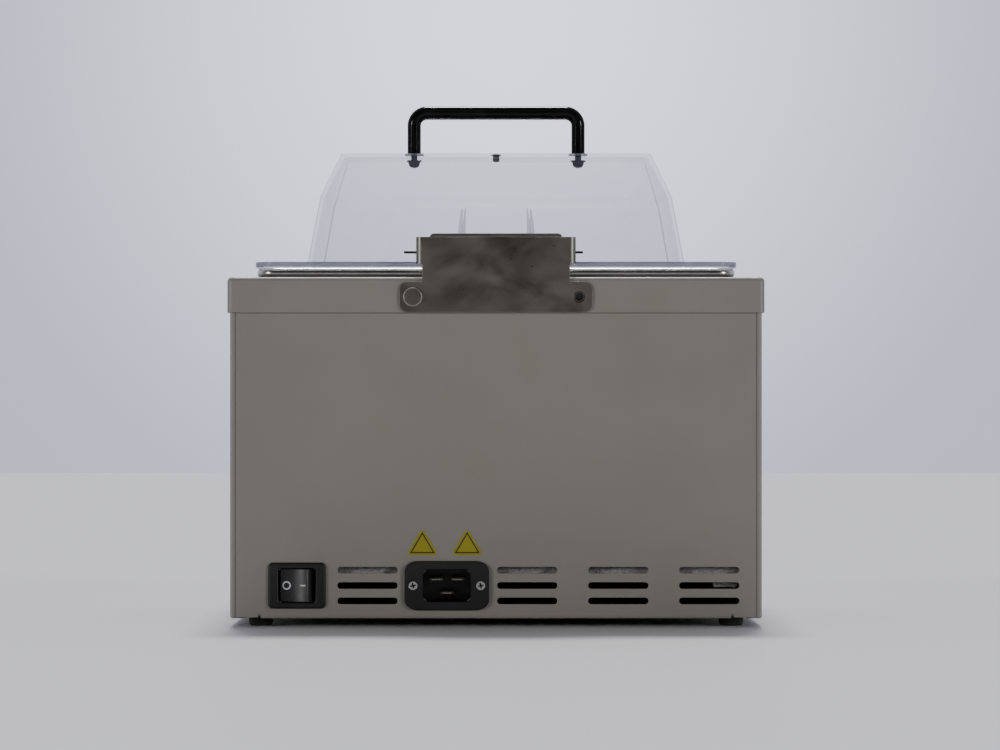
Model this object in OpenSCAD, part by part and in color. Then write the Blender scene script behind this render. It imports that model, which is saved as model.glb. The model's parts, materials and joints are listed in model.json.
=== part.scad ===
/* [Housing] */
// Width of the painted top cover
cover_w = 318; // [300:1:340]
// Depth of the painted top cover
cover_d = 340; // [330:1:380]
// Height of the housing, from its lower edge to the top of the cover
body_h = 202; // [190:1:220]
// Height of the rubber feet under the housing
foot_h = 5; // [4:0.5:8]
// Height of the cover's skirt
skirt_h = 21; // [16:1:30]
// Thickness of the folded sheet
sheet = 1.2; // [1:0.1:1.5]

/* [Rear face] */
// Sideways place of the power switch
switch_x = 117.7; // [112:0.1:122]
// Sideways place of the appliance inlet
inlet_x = 29; // [26:0.1:32]
// Height of the row of switch, inlet and vents above the housing's lower edge
row_h = 19.5; // [18:0.1:22]
// Length of a vent slot
slot_len = 35.6; // [30:0.1:38]
// Height of a vent slot
slot_h = 3.9; // [3:0.1:5]
// Spacing of the vent slots
slot_pitch = 9.1; // [8:0.1:10]

/* [Lid] */
// Width of the lid's flange
flange_w = 287; // [280:1:290]
// Depth of the lid's flange
flange_d = 258; // [250:1:262]
// Thickness of the clear sheet at the flange
flange_t = 3; // [2:0.1:3.2]
// Height of the lid's crease above its flange
crease_h = 41; // [38:1:48]
// Height of the lid's flat top above its flange
lid_h = 69.7; // [66:0.1:76]
// Wall thickness of the lid's hood
lid_wall = 2.4; // [2:0.1:3]
// How far the lid opens, in degrees
lid_swing = 95; // [80:1:98]

/* [Handle] */
// Diameter of the handle's round bar
bar_dia = 8.4; // [7:0.1:9]
// Spacing of the handle's legs
leg_pitch = 102; // [90:1:120]
// Height of the handle above the lid's top
handle_h = 31; // [26:1:40]

/* [Blocks] */
// Long side of a tube block
block_l = 95.25; // [94:0.05:95.5]
// Short side of a tube block
block_s = 76.2; // [75:0.1:76.4]
// Height of a tube block
block_h = 50.8; // [45:0.1:51]

/* [Hidden] */
$fn = 48;
eps = 0.01;
z0 = foot_h;
top_z = z0 + body_h;
hx = cover_w / 2;
seam = 0.1;
hy = cover_d / 2;
wall_x = hx - 1.6;
wall_y = hy - 1.6;
panel_y = wall_y - 0.4;
panel_w = 2 * (wall_x - 3.2);
base_z = z0 + sheet + 0.1;
floor_z = base_z + sheet;
row_z = z0 + row_h;
vent_x = [76, -18.5, -72.4, -126.2];
foot_x = 140;
foot_y = hy - 22;
relief_x = 140;

// lid and deck
pin_y = hy - 12.5;
pin_z = top_z + 15;
lid_back = hy - 15;
lid_y = lid_back - flange_d / 2;
rim_top = top_z + 6.2;
flange_z = rim_top + 0.3;
hood_z = flange_z + flange_t;
hood_w = 229;
hood_d = 200;
crease_w = 213;
crease_d = 184;
ridge_w = 190.4;
ridge_d = 66;
rim_w = flange_w - 2;
rim_d = flange_d - 2;
rim_wall = 13;
pan_w = rim_w - 2 * rim_wall;
pan_d = rim_d - 2 * rim_wall;
pan_z = top_z - 17;

// heated chamber
gap = 1;
well_w = 2 * block_l + gap + 3;
well_d = 2 * block_s + gap + 3;
chamber_wall = 6;
chamber_w = well_w + 2 * chamber_wall;
chamber_d = well_d + 2 * chamber_wall;
chamber_top = pan_z - 0.1;
block_z = chamber_top - block_h - 1.8;
well_z = block_z - 0.3;
chamber_floor = 15;
chamber_z = well_z - chamber_floor;
mat_t = 1.6;
clamp_t = 1.8;
clamp_z = chamber_z - mat_t - clamp_t;
post_x = 82;
post_y = 62;
wool_z = 84;

// hinge
plate_t = 1.5;
plate_y = hy;
ear_w = 114;
ear_z = top_z - 20.8;
ear_h = 18;
neck_w = 87.5;
neck_top = top_z + 23.7;
cheek_x = 47.2;
cheek_z = top_z + 7.8;
screw_x = 49.2;
screw_z = top_z - 11.8;
pin_dia = 1.6;
leaf_w = 79.5;
leaf_top = top_z + 26.6;
leaf_y = pin_y - 8.1;
leaf_front = lid_y + hood_d / 2 + 3;

// switch
rocker_y = wall_y - 5.4;
rocker_r = 10.6;
rocker_horn = 38;
rocker_tilt = 15;

// control fascia
fascia_w = 176;
fascia_h = 62;
fascia_z = 118;
fascia_y = -(hy + 1.9);
fascia_t = -panel_y - fascia_y;
boss_t = 3.1;
key_dia = 13;
key_x = [32, 49, 66];
key_z = fascia_z;
start_x = -66;
window_w = 66;
window_h = 28;
window_x = -14;
board_y = -(hy - 22);

// ---- shared shapes ----
module round_rect(w, d, r) {
    square([w - 2 * r, d], center = true);
    square([w, d - 2 * r], center = true);
    for (x = [-1, 1], y = [-1, 1])
        translate([x * (w / 2 - r), y * (d / 2 - r)]) circle(r);
}

module slab(w, d, h, r) {
    linear_extrude(h) round_rect(w, d, r);
}

module box(w, d, h) {
    translate([-w / 2, -d / 2, 0]) cube([w, d, h]);
}

// a rounded plate standing in the XZ plane, from y to y + t
module wall_plate(w, h, t, r) {
    translate([0, t, 0]) rotate([90, 0, 0]) linear_extrude(t) round_rect(w, h, r);
}

// a cylinder along Y, from y to y + len
module rod_y(d, len) {
    rotate([-90, 0, 0]) cylinder(d = d, h = len);
}

module corners(x, y) {
    for (i = [-1, 1], j = [-1, 1]) translate([i * x, j * y, 0]) children();
}

// a lead swept along its points, with eight sides and a mitred ring at each point
function unit(v) = v / norm(v);

function heading(pts, i) =
    unit(pts[min(i + 1, len(pts) - 1)] - pts[max(i - 1, 0)]);

function ring(centre, t, r) =
    let (side = unit(cross(t, [0, 0, 1])), up = cross(side, t))
    [for (a = [0 : 45 : 315]) centre + r * (cos(a) * side + sin(a) * up)];

module wire(points, d) {
    n = len(points);
    rings = [for (i = [0 : n - 1]) each ring(points[i], heading(points, i), d / 2)];
    sides = [for (i = [0 : n - 2], k = [0 : 7]) each let (j = (k + 1) % 8, q = 8 * i)
        [[q + k, q + j, q + 8 + j], [q + k, q + 8 + j, q + 8 + k]]];
    caps = [[for (k = [7 : -1 : 0]) k], [for (k = [0 : 7]) 8 * (n - 1) + k]];
    polyhedron(rings, concat(sides, caps));
}

// ---- housing ----
module base_pan() {
    w = 2 * (wall_x - sheet) - 0.6;
    d = 2 * (panel_y - sheet) - 0.6;
    lip = 6;
    color("silver") difference() {
        translate([0, 0, base_z]) box(w, d, lip);
        translate([0, 0, floor_z]) box(w - 2 * sheet, d - 2 * sheet, lip);
        corners(foot_x, foot_y) translate([0, 0, base_z - eps]) cylinder(d = 4.2, h = sheet + 1);
    }
}

module side_panel(s) {
    h = top_z - sheet - 0.6 - z0;
    x = s * wall_x;
    in = s > 0 ? -1 : 0;
    color([0.80, 0.79, 0.76]) intersection() {
        union() {
            translate([x + in * sheet, -wall_y, z0]) cube([sheet, 2 * wall_y, h]);
            for (y = [-wall_y, wall_y - sheet])
                translate([x + in * 3, y, z0 + 0.6]) cube([3, sheet, h - 0.6]);
            translate([x + in * 9, -wall_y + 4, z0]) cube([9, 2 * wall_y - 8, sheet]);
        }
        translate([0, 0, z0]) slab(2 * wall_x, 2 * wall_y, h, 1.6);
    }
}

module left_side_panel() side_panel(1);

module right_side_panel() side_panel(-1);

// plain end panel with its folded lower edge; y is the outer face
module end_sheet() {
    h = top_z - sheet - 0.8 - z0;
    difference() {
        union() {
            translate([-panel_w / 2, panel_y - sheet, z0 + 0.6]) cube([panel_w, sheet, h - 0.6]);
            translate([-relief_x, panel_y - 9, z0]) cube([2 * relief_x, 9, sheet]);
        }
        for (x = [-relief_x, relief_x])
            translate([x - 0.8, panel_y - 10, z0 - 1]) cube([1.6, 11, 3.6]);
    }
}

module front_panel() {
    color([0.80, 0.79, 0.76]) difference() {
        mirror([0, 1, 0]) end_sheet();
        translate([-(fascia_w - 12) / 2, -panel_y - 1, fascia_z - (fascia_h - 12) / 2])
            cube([fascia_w - 12, 4, fascia_h - 12]);
    }
}

module rear_panel() {
    color([0.80, 0.79, 0.76]) difference() {
        end_sheet();
        for (x = vent_x, i = [-1, 0, 1])
            translate([x, panel_y - 2, row_z + i * slot_pitch])
                wall_plate(slot_len, slot_h, 4, slot_h / 2 - 0.05);
        translate([switch_x, panel_y - 2, row_z]) wall_plate(30.4, 22.4, 4, 1);
        translate([inlet_x, panel_y - 2, row_z]) wall_plate(32.4, 24.4, 4, 3);
        for (x = [-20, 20]) translate([inlet_x + x, panel_y - 2, row_z]) rod_y(3.4, 4);
        for (x = [-screw_x, screw_x]) translate([x, panel_y - 2, screw_z]) rod_y(7.4, 4);
    }
}

module top_cover() {
    color([0.82, 0.81, 0.78]) difference() {
        translate([0, 0, top_z - skirt_h]) slab(cover_w, cover_d, skirt_h, 3.2);
        translate([0, 0, top_z - skirt_h - 1])
            slab(cover_w - 2 * sheet, cover_d - 2 * sheet, skirt_h + 1 - sheet, 2);
        translate([0, lid_y, top_z - 3]) slab(pan_w + 5, pan_d + 5, 4, 9);
        for (x = [-screw_x, screw_x]) translate([x, hy - 4, screw_z]) rod_y(6.8, 6);
        for (sx = [-1, 1], sy = [-1, 1]) cover_seam(sx, sy);
    }
}

// hairline seam from a corner of the cover's opening to the cover's own corner
module cover_seam(sx, sy) {
    from = [sx * (pan_w / 2 - 2), lid_y + sy * (pan_d / 2 - 2)];
    to = [sx * (hx + 2), sy * (hy + 2)];
    run = to - from;
    translate([from[0], from[1], top_z - skirt_h - 1]) rotate([0, 0, atan2(run[1], run[0])])
        translate([0, -seam / 2, 0]) cube([norm(run), seam, skirt_h + 2]);
}

module rubber_feet() {
    color([0.09, 0.09, 0.09]) corners(foot_x, foot_y) difference() {
        union() {
            translate([0, 0, 1.5]) cylinder(d = 14.5, h = base_z - 1.5);
            cylinder(d1 = 11.5, d2 = 14.5, h = 1.5);
        }
        translate([0, 0, -1]) cylinder(d = 8.4, h = 3.4);
        cylinder(d = 4.2, h = 12);
    }
}

module foot_screws() {
    color("silver") corners(foot_x, foot_y) {
        translate([0, 0, 0.6]) cylinder(d = 8, h = 1.8);
        translate([0, 0, 2]) cylinder(d = 4, h = floor_z + 3);
        translate([0, 0, floor_z]) cylinder(d = 8, h = 3.2, $fn = 6);
    }
}

// ---- deck, chamber and blocks ----
module deck_pan() {
    wall = 1;
    color([0.72, 0.72, 0.71]) difference() {
        translate([0, lid_y, 0]) union() {
            translate([0, 0, top_z + 0.05]) slab(rim_w, rim_d, rim_top - top_z - 0.05, 14);
            translate([0, 0, pan_z]) slab(pan_w + 2 * wall, pan_d + 2 * wall, rim_top - pan_z, 8);
        }
        translate([0, lid_y, pan_z + wall]) slab(pan_w, pan_d, 40, 7);
        translate([0, lid_y, pan_z - 1]) slab(well_w + 1, well_d + 1, 4, 3);
    }
}

module block_chamber() {
    color([0.66, 0.67, 0.68]) difference() {
        translate([0, lid_y, chamber_z]) slab(chamber_w, chamber_d, chamber_top - chamber_z, 4);
        translate([0, lid_y, well_z]) slab(well_w, well_d, block_h + 10, 2);
        translate([0, lid_y, 0]) clamp_points() translate([0, 0, chamber_z - 1]) cylinder(d = 4.2, h = 9);
        translate([30, lid_y - chamber_d / 2 - 1, chamber_z + 7]) rod_y(4.3, 42);
    }
}

// tube block: columns, rows, bore, bore depth and the place of its lifting hole
module tube_block(i, j, cols, rows, bore, depth, lift) {
    px = block_l / (cols + 0.12);
    py = block_s / (rows + 0.12);
    color([0.74, 0.75, 0.76])
        translate([i * (block_l + gap) / 2, lid_y + j * (block_s + gap) / 2, block_z]) difference() {
            slab(block_l, block_s, block_h, 2.5);
            for (c = [0 : cols - 1], r = [0 : rows - 1])
                translate([(c - (cols - 1) / 2) * px, (r - (rows - 1) / 2) * py, block_h - depth])
                    cylinder(d = bore, h = depth + 1);
            translate([lift[0] * px, lift[1] * py, block_h - 20]) cylinder(d = 4.2, h = 21);
        }
}

module tube_block_1() tube_block(-1, 1, 6, 4, 11, 38, [0, 0]);

module tube_block_2() tube_block(1, 1, 5, 4, 13, 45, [0.5, 0]);

module tube_block_3() tube_block(-1, -1, 4, 3, 17.2, 45, [0, 0.5]);

module tube_block_4() tube_block(1, -1, 3, 2, 28.6, 45, [0.5, 0]);

module clamp_points() {
    for (x = [-80, 0, 80], y = [-50, 50]) translate([x, y, 0]) children();
}

module heater_mat() {
    color([0.80, 0.36, 0.14]) difference() {
        translate([0, lid_y, chamber_z - mat_t]) slab(190, 150, mat_t - 0.02, 4);
        translate([0, lid_y, 0]) clamp_points() translate([0, 0, chamber_z - 3]) cylinder(d = 6, h = 6);
    }
}

module mat_clamp_plate() {
    color("silver") difference() {
        translate([0, lid_y, clamp_z]) slab(chamber_w, chamber_d, clamp_t, 4);
        translate([0, lid_y, 0]) clamp_points() translate([0, 0, clamp_z - 1]) cylinder(d = 4.4, h = 4);
        translate([0, lid_y, 0]) corners(post_x, post_y)
            translate([0, 0, clamp_z - 1]) cylinder(d = 4.4, h = 4);
    }
}

module clamp_screws() {
    color("silver") translate([0, lid_y, 0]) clamp_points() {
        translate([0, 0, clamp_z - 2.6]) cylinder(d = 7, h = 2.6);
        translate([0, 0, clamp_z - 1]) cylinder(d = 4, h = 10);
    }
}

module chamber_posts() {
    color("silver") translate([0, lid_y, 0]) corners(post_x, post_y) {
        translate([0, 0, floor_z]) cylinder(d = 9, h = clamp_z - floor_z, $fn = 6);
        translate([0, 0, clamp_z - 1]) cylinder(d = 4, h = clamp_t + 0.8);
    }
}

module side_insulation() {
    in_w = chamber_w + 1;
    in_d = chamber_d + 1;
    color([0.88, 0.87, 0.84]) difference() {
        translate([0, lid_y, clamp_z]) slab(in_w + 50, in_d + 46, pan_z - clamp_z - 0.3, 10);
        translate([0, lid_y, clamp_z - 1]) slab(in_w, in_d, 100, 4);
        translate([30, lid_y - in_d / 2 - 30, chamber_z + 7]) rod_y(7, 34);
        translate([-60, lid_y - in_d / 2 - 30, chamber_z - 1]) rod_y(9, 34);
    }
}

module base_insulation() {
    color([0.88, 0.87, 0.84]) difference() {
        translate([0, lid_y, wool_z]) slab(chamber_w + 51, chamber_d + 47, clamp_z - wool_z - 0.3, 10);
        translate([0, lid_y, 0]) clamp_points() translate([0, 0, clamp_z - 6]) cylinder(d = 10, h = 10);
        translate([0, lid_y, wool_z - 1]) corners(post_x, post_y) cylinder(d = 10.5, h = 60);
        translate([40, lid_y, wool_z - 1]) cylinder(d = 30, h = 60);
    }
}

// the quilt that hangs inside the rear panel, seen through the vents
module rear_blanket() {
    y = panel_y - sheet - 14;
    low = row_z + 4.5;
    color([0.84, 0.84, 0.82]) difference() {
        union() {
            translate([-150, y, low]) cube([300, 11, top_z - 20 - low]);
            translate([-150, y, low - 9]) cube([26, 11, 20]);
        }
        translate([switch_x - 19, y - 1, low - 20]) cube([38, 13, 36]);
        translate([inlet_x - 27, y - 1, low - 20]) cube([54, 13, 38]);
        for (x = [-screw_x, screw_x]) translate([x, y - 1, screw_z]) rod_y(10, 13);
    }
}

module temperature_sensor() {
    color("silver") translate([30, lid_y - chamber_d / 2, chamber_z + 7]) {
        translate([0, -26, 0]) rod_y(4, 66);
        translate([0, -31, 0]) rod_y(6, 6);
    }
}

module safety_thermostat() {
    color([0.15, 0.15, 0.15]) translate([40, lid_y, 0]) {
        translate([0, 0, clamp_z - 4]) cylinder(d = 24, h = 3.8);
        translate([0, 0, clamp_z - 14]) cylinder(d = 16, h = 11);
        for (x = [-4, 4]) translate([x - 3, -0.4, clamp_z - 24]) cube([5, 0.8, 11]);
    }
}

// ---- electronics ----
module control_board() {
    color([0.10, 0.36, 0.18]) difference() {
        translate([-80, board_y, fascia_z - 29]) cube([160, 1.6, 58]);
        for (x = [-74, 74], z = [-23, 23])
            translate([x, board_y - 1, fascia_z + z]) rod_y(3.4, 4);
    }
}

module board_spacers() {
    from = fascia_y + fascia_t + boss_t;
    color("silver") for (x = [-74, 74], z = [-23, 23])
        translate([x, from, fascia_z + z]) {
            rotate([-90, 0, 0]) cylinder(d = 6, h = board_y - from, $fn = 6);
            rod_y(3, board_y - from + 1.6);
            translate([0, board_y - from + 1.6, 0]) rod_y(5.6, 2);
        }
}

module display_module() {
    color([0.07, 0.07, 0.08]) translate([window_x, 0, fascia_z]) {
        translate([-28, board_y - 22.2, -10]) cube([56, 22.1, 20]);
    }
}

// the dome pad between each key and the board
module key_domes() {
    color([0.75, 0.75, 0.72]) for (x = concat(key_x, [start_x]))
        translate([x, board_y, key_z]) mirror([0, 1, 0]) {
            rod_y(9, 3);
            rod_y(5, board_y - fascia_y - 7.4);
        }
}

module transformer() {
    color([0.20, 0.20, 0.22]) translate([-95, -110, floor_z]) {
        box(57, 48, 5);
        translate([0, 0, 5]) box(57, 32, 38);
        translate([0, 0, 9]) box(44, 48, 30);
    }
}

module relay_heat_sink() {
    color([0.62, 0.63, 0.65]) translate([0, -115, floor_z]) {
        translate([0, 0, 24]) box(72, 70, 5);
        for (i = [0 : 8]) translate([-34 + i * 8.5, 0, 0]) box(2, 70, 24.5);
    }
}

module solid_state_relay() {
    color([0.90, 0.89, 0.85]) translate([0, -115, floor_z + 29.1]) difference() {
        box(58, 45, 23);
        for (x = [-23, 23], y = [-12, 12]) translate([x, y, 14]) cylinder(d = 7, h = 12);
    }
}

module terminal_block() {
    color([0.92, 0.91, 0.88]) translate([95, -120, floor_z]) difference() {
        box(60, 22, 20);
        for (i = [-2 : 2]) translate([i * 11, 0, 0]) {
            translate([0, 0, 12]) cylinder(d = 5, h = 10);
            translate([0, -12, 8]) rod_y(4.6, 24);
        }
    }
}

module earth_stud() {
    color("goldenrod") translate([132, -60, floor_z]) {
        cylinder(d = 11, h = 4, $fn = 6);
        cylinder(d = 5, h = 16);
        translate([0, 0, 8.5]) cylinder(d = 10, h = 3.4, $fn = 6);
    }
}

// inlet to switch, switch to terminals, and the earth lead to its stud
module mains_wires() {
    back = panel_y - 36;
    end_y = -108.4;
    color([0.42, 0.22, 0.12]) {
        wire([[inlet_x + 12, back, row_z + 6], [inlet_x + 24, back - 14, row_z + 6],
            [switch_x - 14, back - 14, row_z + 6], [switch_x - 6, back + 4, row_z + 5]], 2.6);
        wire([[switch_x + 5, back + 5, row_z - 3], [switch_x + 5, back - 20, 21],
            [130, 60, 20.5], [118, -90, 20], [106, end_y, 18]], 2.6);
    }
    color([0.15, 0.25, 0.55])
        wire([[inlet_x - 12, back, row_z + 6], [inlet_x - 12, back - 16, 16],
            [100, 50, 15], [95, -90, 15], [95, end_y, 15.4]], 2.6);
    color([0.40, 0.60, 0.15])
        wire([[inlet_x, back, row_z - 7], [inlet_x + 8, back - 22, 10.5],
            [118, 20, 10.5], [132, -46, 11], [132, -54, 12]], 2.6);
}

module heater_wires() {
    wool_front = lid_y - chamber_d / 2 - 30;
    color([0.80, 0.78, 0.72]) {
        wire([[-60, lid_y - 75.6, chamber_z - 0.8], [-60, wool_front, chamber_z - 0.8],
            [-60, wool_front - 8, 72], [-30, -92, 64], [-23, -103, 61]], 1.4);
        wire([[47, lid_y - 1, clamp_z - 25], [47, lid_y - 4, 76], [70, -70, 60], [73, -100, 40],
            [73, -108, 30]], 2);
    }
}

// ---- front controls ----
module control_fascia() {
    color([0.10, 0.10, 0.11]) difference() {
        union() {
            translate([0, fascia_y, fascia_z]) wall_plate(fascia_w, fascia_h, fascia_t, 6);
            translate([0, fascia_y + fascia_t - 0.5, fascia_z])
                wall_plate(fascia_w - 13, fascia_h - 13, boss_t + 0.5, 3);
        }
        translate([window_x, fascia_y - 1, fascia_z]) wall_plate(window_w, window_h, 2.2, 2);
        translate([window_x, fascia_y - 1, fascia_z]) wall_plate(window_w - 8, window_h - 6, 10, 1);
        for (x = concat(key_x, [start_x])) translate([x, fascia_y, key_z]) {
            translate([0, -1, 0]) rod_y(key_dia + 0.8, 10);
            translate([0, fascia_t, 0]) rod_y(key_dia + 3.4, 10);
        }
    }
}

module display_window() {
    color([0.16, 0.05, 0.05, 0.8]) translate([window_x, fascia_y + 0.2, fascia_z])
        wall_plate(window_w - 0.4, window_h - 0.4, 0.98, 1.8);
}

// a key with the collar that keeps it behind the fascia, and its stem
module key_cap(x) {
    collar_y = fascia_t + 1.9;
    color([0.62, 0.64, 0.67]) translate([x, fascia_y - 1.6, key_z]) {
        rod_y(key_dia, collar_y + 0.5);
        translate([0, collar_y, 0]) rod_y(key_dia + 2.6, 1);
        translate([0, collar_y, 0]) rod_y(key_dia - 5, 2.3);
    }
}

module set_key() key_cap(key_x[0]);

module down_key() key_cap(key_x[1]);

module up_key() key_cap(key_x[2]);

module start_key() key_cap(start_x);

// ---- rear fittings ----
module switch_housing() {
    color([0.08, 0.08, 0.08]) translate([switch_x, 0, row_z]) difference() {
        union() {
            translate([0, panel_y, 0]) wall_plate(34, 27.2, 2, 2.4);
            translate([0, panel_y - 20, 0]) wall_plate(30, 22, 20.5, 0.8);
            for (x = [-5, 5]) translate([x - 3, panel_y - 29, -0.4]) cube([6, 10, 0.8]);
        }
        translate([0, panel_y - 18, 0]) wall_plate(21.9, 20, 24, 0.6);
    }
}

module power_rocker() {
    a = rocker_horn;
    tip = rocker_r * [cos(a), sin(a)];
    color([0.08, 0.08, 0.08]) translate([switch_x, rocker_y, row_z])
        rotate([0, 0, -rocker_tilt]) translate([0, 0, -9.7]) linear_extrude(19.4) difference() {
            intersection() {
                circle(rocker_r);
                translate([-12, -rocker_r * 0.55]) square([24, tip[1] + rocker_r * 0.55]);
            }
            translate([0, tip[1] + 22.6]) circle(24.4, $fn = 96);
        }
}

module inlet_body() {
    color([0.10, 0.10, 0.10]) translate([inlet_x, 0, row_z]) difference() {
        union() {
            translate([0, panel_y, 0]) wall_plate(50, 29, 2.5, 5);
            translate([0, panel_y - 25, 0]) wall_plate(32, 24, 25.5, 3);
        }
        translate([0, panel_y - 20, 0]) wall_plate(28, 19, 30, 3);
        for (x = [-20, 20]) translate([x, panel_y - 1, 0]) {
            rod_y(3.4, 6);
            translate([0, 2.2, 0]) rotate([-90, 0, 0]) cylinder(d1 = 3.4, d2 = 6, h = 1.4);
        }
        for (p = [[-6.5, 3.6], [6.5, 3.6], [0, -4.4]])
            translate([p[0] - 4.1, panel_y - 27, p[1] - 1.1]) cube([8.2, 10, 2.2]);
    }
}

module inlet_pins() {
    color([0.75, 0.72, 0.62]) translate([inlet_x, panel_y, row_z])
        for (p = [[-6.5, 3.6], [6.5, 3.6], [0, -4.4]])
            translate([p[0] - 4, -34, p[1] - 1]) cube([8, 32.5, 2]);
}

module inlet_screws() {
    color("silver") for (x = [-20, 20]) translate([inlet_x + x, panel_y, row_z]) {
        translate([0, -7, 0]) rod_y(3, 9.6);
        difference() {
            translate([0, 1.3, 0]) rotate([-90, 0, 0]) cylinder(d1 = 3.2, d2 = 5.4, h = 1.3);
            for (a = [0, 90]) rotate([0, a, 0]) translate([-1.6, 1.9, -0.35]) cube([3.2, 1, 0.7]);
        }
    }
}

module warning_stickers() {
    r = 1.2;
    w = 16.8 / 2 - r;
    h = 14.8 - 2 * r;
    color([0.90, 0.78, 0.10]) for (x = [43.5, 17])
        translate([x, panel_y + 0.2, z0 + 37.3 + r]) rotate([90, 0, 0]) linear_extrude(0.18)
            union() {
                polygon([[-w, 0], [w, 0], [0, h]]);
                polygon([[-w, -r], [w, -r], [w, 0], [-w, 0]]);
                for (s = [-1, 1]) polygon([[s * w, 0], [s * (w + r * 0.88), r * 0.47],
                    [s * r * 0.88, h + r * 0.47], [0, h]]);
                for (p = [[-w, 0], [w, 0], [0, h]]) translate(p) circle(r);
            }
}

// ---- hinge ----
module cheek(x) {
    translate([x, 0, 0]) rotate([90, 0, 90]) linear_extrude(plate_t) difference() {
        union() {
            translate([pin_y, pin_z]) circle(5);
            translate([pin_y, pin_z - 5]) square([plate_y + plate_t - pin_y - 3, 10]);
            translate([plate_y - 6, cheek_z]) square([4.5, neck_top - 0.7 - cheek_z]);
        }
        translate([pin_y, pin_z]) circle(d = pin_dia + 0.16);
    }
}

// quarter bend that joins a cheek to the plate
module bend(s) {
    r = 3.5;
    translate([s * (cheek_x - r), plate_y + plate_t - r, cheek_z])
        linear_extrude(neck_top - 0.7 - cheek_z) intersection() {
            difference() {
                circle(r);
                circle(r - plate_t);
            }
            translate([s > 0 ? 0 : -r, 0]) square([r, r]);
        }
}

module hinge_bracket() {
    color([0.52, 0.49, 0.45]) union() {
        difference() {
            union() {
                translate([0, plate_y, ear_z + ear_h / 2]) wall_plate(ear_w, ear_h, plate_t, 4.6);
                translate([-neck_w / 2, plate_y, ear_z + 4])
                    cube([neck_w, plate_t, neck_top - ear_z - 4]);
            }
            for (x = [-screw_x, screw_x]) translate([x, plate_y - 1, screw_z]) rod_y(6.8, 4);
        }
        cheek(cheek_x - plate_t);
        cheek(-cheek_x);
        bend(1);
        bend(-1);
    }
}

module hinge_inserts() {
    color([0.62, 0.60, 0.52]) for (x = [-screw_x, screw_x])
        translate([x, panel_y - 6, screw_z]) difference() {
            rod_y(6.6, hy + 0.3 - panel_y + 6);
            translate([0, -1, 0]) rod_y(5, 20);
        }
}

module hinge_screw() {
    color("silver") translate([screw_x, 0, screw_z]) difference() {
        union() {
            translate([0, plate_y + plate_t, 0]) rod_y(11.4, 1.2);
            translate([0, plate_y + plate_t + 1.2, 0])
                rotate([-90, 0, 0]) cylinder(d1 = 11.4, d2 = 9.4, h = 0.8);
            translate([0, panel_y - 5, 0]) rod_y(4.9, plate_y + plate_t - panel_y + 5.2);
        }
        for (a = [20, 110]) rotate([0, a, 0]) translate([-2.6, plate_y + plate_t + 0.8, -0.5])
            cube([5.2, 2, 1]);
    }
}

module hinge_pin() {
    color([0.25, 0.25, 0.25]) translate([-51.8, pin_y, pin_z]) rotate([0, 90, 0])
        cylinder(d = pin_dia, h = 106.5);
}

module hinge_leaf() {
    lug_r = 4;
    color([0.60, 0.58, 0.54]) difference() {
        union() {
            translate([-leaf_w / 2, leaf_y, hood_z]) cube([leaf_w, plate_t, leaf_top - hood_z - 3]);
            translate([0, leaf_y, leaf_top - 6]) wall_plate(leaf_w, 12, plate_t, 3);
            translate([-leaf_w / 2, leaf_front, hood_z])
                cube([leaf_w, leaf_y + plate_t - leaf_front, plate_t]);
            for (x = [-leaf_w / 2, leaf_w / 2 - plate_t]) {
                translate([x, leaf_y, pin_z - lug_r]) cube([plate_t, pin_y - leaf_y, 2 * lug_r]);
                translate([x, pin_y, pin_z]) rotate([0, 90, 0]) cylinder(r = lug_r, h = plate_t);
            }
        }
        translate([-leaf_w, pin_y, pin_z]) rotate([0, 90, 0])
            cylinder(d = pin_dia + 0.16, h = 2 * leaf_w);
        leaf_points() translate([0, 0, hood_z - 1]) cylinder(d = 4.2, h = 4);
    }
}

module leaf_points() {
    for (x = [-30, 0, 30]) translate([x, leaf_front + 9, 0]) children();
}

module leaf_screws() {
    color("silver") leaf_points() {
        translate([0, 0, hood_z + plate_t]) cylinder(d = 7, h = 1.6);
        translate([0, 0, flange_z + 0.2]) cylinder(d = 4, h = flange_t + plate_t + 0.2);
    }
}

// ---- lid ----
// one level of the hood, thinner by inset on every side
module level(w, d, r, z, inset) {
    translate([0, lid_y, z]) slab(w - 2 * inset, d - 2 * inset, 0.02, r - inset * 0.5, $fn = 32);
}

module hood_solid(inset, low) {
    hull() {
        level(hood_w + 0.4, hood_d + 0.4, 17, flange_z + low, inset);
        level(crease_w, crease_d, 13, flange_z + flange_t + crease_h, inset);
    }
    hull() {
        level(crease_w, crease_d, 13, flange_z + flange_t + crease_h, inset);
        level(ridge_w, ridge_d, 7, flange_z + flange_t + lid_h - inset, inset);
    }
}

module lid_hood() {
    color([0.80, 0.84, 0.90, 0.35]) difference() {
        union() {
            translate([0, lid_y, flange_z]) slab(flange_w, flange_d, flange_t, 14);
            hood_solid(0, 0.5);
        }
        hood_solid(lid_wall, -0.1);
        for (x = [-leg_pitch / 2, leg_pitch / 2]) translate([x, lid_y, hood_z + lid_h - 6])
            cylinder(d = 4.4, h = 10);
        translate([0, lid_y, hood_z + lid_h - 6]) cylinder(d = 4.4, h = 10);
        leaf_points() translate([0, 0, flange_z - 1]) cylinder(d = 4.2, h = 6);
    }
}

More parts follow.
